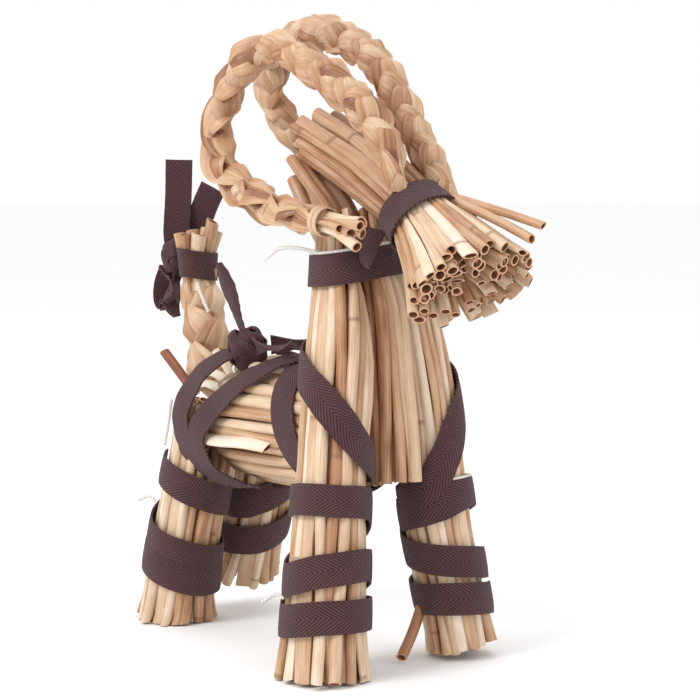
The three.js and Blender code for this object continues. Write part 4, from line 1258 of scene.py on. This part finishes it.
laid_tape("tail_long_end", "tail_long_free_end", tail_points([
    [TAIL_KNOT_X + 1, -1, 156], [TAIL_KNOT_X + 0.5, -1, 168], [TAIL_KNOT_X + 0.8, 0, 184],
    [TAIL_KNOT_X, 1, 200]]),
    TAIL_CORE, random.Random(93), width=[(0, 9), (0.3, 11.5), (1, 11.8)], twist=[(0, -45), (1, -35)], cup=0.5)
laid_tape("tail_long_end_folds", None, tail_points([
    [TAIL_KNOT_X + 1, -2, 158], [TAIL_KNOT_X - 1.5, -3, 155], [TAIL_KNOT_X - 4.5, -3, 152],
    [TAIL_KNOT_X - 1, -4, 148],
    [TAIL_KNOT_X + 1.5, -4, 145], [TAIL_KNOT_X - 2.5, -4, 141], [TAIL_KNOT_X - 5, -3, 137.5],
    [TAIL_KNOT_X - 1.5, -3, 134],
    [TAIL_KNOT_X + 0.5, -2, 130]]),
    TAIL_CORE, random.Random(193), width=[(0, 10), (0.25, 8), (0.5, 10), (0.75, 8), (1, 9)],
    twist=[(0, -45), (0.3, 15), (0.55, -60), (0.8, 10), (1, -40)], cup=1.2)
laid_tape("tail_short_end", "tail_short_free_end", tail_points([
    [TAIL_KNOT_X + 3, 5, 158], [TAIL_KNOT_X + 4, 8, 170], [TAIL_KNOT_X + 8, 9, 179],
    [TAIL_KNOT_X + 14, 9.5, 187.5]]),
    TAIL_CORE, random.Random(94), width=11.5, twist=[(0, -40), (1, -30)], cup=0.3)
laid_tape("tail_loop_tape", "tail_loop", tail_points([
    [TAIL_KNOT_X - 0.5, -1, 152], [TAIL_KNOT_X - 1, -1, 146], [TAIL_KNOT_X - 2.5, -1, 138],
    [TAIL_KNOT_X - 5.5, -1, 134.5],
    [TAIL_KNOT_X - 8.5, -1, 137.5], [TAIL_KNOT_X - 8, -1, 144], [TAIL_KNOT_X - 4, -1, 151]]),
    TAIL_CORE, random.Random(95), width=11, twist=[(0, -50), (0.5, -10), (1, -50)], cup=0.4)

# %% [markdown]
# ## String, thread and loose bits
#
# White string holds the bundles before the tape goes on, and its cut ends stick out. Each string is
# made directly as a mesh, rings of points swept along a smooth line, with a map, so that the twist can
# follow it.

# %% String


def twine(piece, points, diameter, luck, sides=8, fray=0.0, steps=None):
    """A round string through points, in metres."""
    points = np.asarray(points, float)
    steps = steps or 8 * len(points)
    line, slope = smooth_line(points, np.linspace(0, 1, steps))
    run = unit(slope)
    guess = np.where(np.abs(run[:, 2:]) > 0.8, [[0, 1, 0]], [[0, 0, 1]])
    one = unit(np.cross(run, guess))
    for i in range(1, steps):
        one[i] = unit(one[i - 1] - run[i] * (one[i - 1] @ run[i]))
    two = np.cross(run, one)
    half = np.full(steps, diameter * MM / 2) * (1 - fray * np.linspace(0, 1, steps) ** 6)
    turns = np.arange(sides) * 2 * math.pi / sides
    ring = (line[:, None] + one[:, None] * (half[:, None] * np.cos(turns))[..., None]
            + two[:, None] * (half[:, None] * np.sin(turns))[..., None])
    along = np.concatenate([[0], np.cumsum(np.linalg.norm(np.diff(line, axis=0), axis=1))])
    faces, maps = [], []
    for i in range(steps - 1):
        for k in range(sides):
            faces.append([i * sides + k, i * sides + (k + 1) % sides, (i + 1) * sides + (k + 1) % sides,
                (i + 1) * sides + k])
            maps += [(along[r], t * 2 * TWIST / sides) for r,
                t in ((i, k), (i, k + 1), (i + 1, k + 1), (i + 1, k))]
    for row, order in ((0, -1), (steps - 1, 1)):
        faces.append([row * sides + k for k in range(sides)][::order])
        maps += [(0, 0)] * sides
    piece.take(ring.reshape(-1, 3), faces, maps, [(0.5, 0, 0, 1)] * len(maps))


def one_string(name, node, points, diameter, seed, material=None, fray=0.0):
    piece = Piece()
    luck = random.Random(seed)
    twine(piece, points, diameter, luck, fray=fray)
    return piece.finish(name, material or STRING, [node] if node else [], angle=80)


def cut_end(bundle, z, turn, reach):
    return [on_bundle(bundle, 2, z, turn, 1.1), on_bundle(bundle, 2, z + reach / 8, turn - 8,
        1.1 + reach / 3),
            on_bundle(bundle, 2, z - reach / 5, turn - 12, reach)]


one_string("front_right_string_end", "front_right_leg_string", cut_end(front_right, 29.8, -112, 9), 1.4, 100)
one_string("front_left_string_end", "front_left_leg_string",
    [on_bundle(front_left, 2, 70.4 + 0.012 * a, a, 1.0) for a in (-20, 0, 20, 40, 60, 85, 110)], 1.3, 101)
one_string("rear_right_string_end", "rear_right_leg_string", cut_end(rear_right, 51, -112, 8), 1.4, 102)
one_string("rump_string_end", "rump_string", [
    on_bundle(rear_right, 2, 96, -128, 1.6), on_bundle(rear_right, 2, 85, -131,
        1.6), on_bundle(rear_right, 2, 76, -118, 1.8)], 1.4, 103)
one_string("tail_string_end", "tail_string", tail_points([
    [TAIL_X + 10, -7, 146.5], [TAIL_X + 12.5, -6.5, 141], [TAIL_X + 17, -6, 134]]), 1.4, 104)

neck_normal = unit(np.array([-0.07, -0.12, 1]))
neck_loop = taut_outline([front_right, front_left, chest], place([-19, 1.5, 164.8]), neck_normal, 0.9 * MM)
one_string("neck_string_loop", "neck_string", np.vstack([neck_loop[::3], neck_loop[:1]]), 1.4, 105)
one_string("neck_string_tail", None, [
    neck_loop[0], neck_loop[0] + [-0.006, -0.006, 0.002], neck_loop[0] + [-0.013, -0.010,
        0.0015], neck_loop[0] + [-0.020, -0.013, -0.004]], 1.5, 106, fray=1.0)

# %% Ties at the horn tips


def horn_tie(name, node, stations, seed):
    """A flattened straw wound once round the tip, with a thin thread over it."""
    luck = random.Random(seed)
    tips = Bundle(stations)
    turns = np.linspace(0, 2 * math.pi, 41)[:-1]
    grid = []
    for share in np.linspace(-0.06, 0.14, 5):
        grid.append(tips.skin(share, turns, 0.9 * MM))
    grid = np.stack(grid, axis=1)[:, ::-1]
    out = grid[0, 2] - grid[:, 2].mean(axis=0)
    if np.dot(np.cross(grid[1, 2] - grid[0, 2], grid[0, -1] - grid[0, 0]), out) < 0:
        grid = grid[:, ::-1]
    band = strip(name, grid, [node], luck, closed=True, thickness=0.6 * MM)
    band.data.materials[0] = STRAW
    thread = Piece()
    loop = tips.skin(np.linspace(0.03, 0.06, 24), np.linspace(0, 2 * math.pi, 24), 1.35 * MM)
    twine(thread, loop, 0.4, luck)
    thread.finish(name + "_thread", FIBRE, [node], angle=80)


horn_tie("right_horn_band", "right_horn_tie", tip_stations(-4.2, -29.3, 174.4, 2.5), 110)
horn_tie("left_horn_band", "left_horn_tie", tip_stations(-4.2, 33, 175.2, -1), 111)

# %% Stray straws


def stray(name, node, points, radius, seed, tone=0.45, stain=0.6, pressed=1.0):
    """One loose straw through points as drawn."""
    piece = Piece()
    luck = random.Random(seed)
    rows = place(points)

    def line(levels):
        middle = smooth_line(rows, levels)[0]
        out = np.tile([0.3, -0.5, 0.8], (len(levels), 1))
        return middle, out, np.full(len(levels), radius * MM), np.full(len(levels), radius * MM * pressed)

    bend_straw(piece, line, luck, tone, stain)
    return piece.finish(name, STRAW, [node] if node else [])


stray("rump_stray", "rump_stray_straw", [[-144, -12.6, 115.5], [-133, -12.6, 108],
    [-123.5, -12.6, 101.5]], 2.2, 120, 0.12, 1.0, 0.55)
stray("foot_stray", "foot_stray_straw", [[1.5, 3.5, 2.8], [-1, 10.5, 10], [-2.5, 15.4, 17],
    [-3, 17.5, 21]], 2.2, 121, 0.3, 0.7)
stray("muzzle_stray", "muzzle_stray_straw", [[20, 13, 184], [32, 16, 181], [46, 19, 177.5],
    [61, 22, 173.4]], 1.7, 122, 0.5, 0.5)
stray("body_flat_straw", None, [[-90, -26.6, 83], [-75, -27.4, 83.5], [-60, -27.4, 84.5],
    [-46, -26.6, 84]], 3.6, 140, 0.95, 0, 0.35)
stray("rump_pale_straw_1", None, [[-100, -8, 104], [-107, -10, 108], [-114, -12, 109]], 2.2, 141, 0.95, 0,
    0.3)
stray("rump_pale_straw_2", None, [[-102, -12, 102], [-108, -14, 104], [-115, -16, 103]], 2.4, 142, 0.9, 0,
    0.3)
stray("rump_pale_straw_3", None, [[-100, -6, 106], [-106, -7, 113], [-111, -8, 118]], 1.8, 143, 0.9, 0, 0.3)
stray("muzzle_stray_2", None, [[20, 11, 183.5], [31, 14, 179.5], [44, 16.5, 174.5], [58, 19, 168.5]], 1.9,
    133, 0.55, 0.4)
NAPE = [
    [[-51, -9, 198.5], [-38, -9, 189], [-27, -9, 178.5], [-22, -9, 164], [-21, -9, 153]],
    [[-51, -6, 195.5], [-43.5, -7, 186], [-36, -8, 176], [-29, -9, 165], [-26, -9, 153]],
    [[-50, -11, 191], [-43, -11.5, 182], [-35, -11.5, 172], [-28, -11, 162], [-25, -11, 153]],
    [[-49, -12.5, 199], [-38, -13, 190], [-24, -13, 178], [-18.5, -13, 164], [-17, -13, 154]],
    [[-51, 0, 197], [-40, 0, 188], [-29, 0, 177], [-23, 1, 164], [-22, 1, 153]],
    [[-50, 5, 196], [-42, 6, 187], [-33, 7, 176], [-27, 8, 164], [-25, 8, 153]],
    [[-50, 10, 199], [-38, 11, 189], [-27, 12, 178], [-21, 12, 164], [-20, 12, 153]],
]
for number, points in enumerate(NAPE):
    stray(f"nape_straw_{number + 1}", None, points, 2.35 if number % 2 else 2.7, 123 + number,
        0.4 + 0.05 * (number % 3), 0.4)
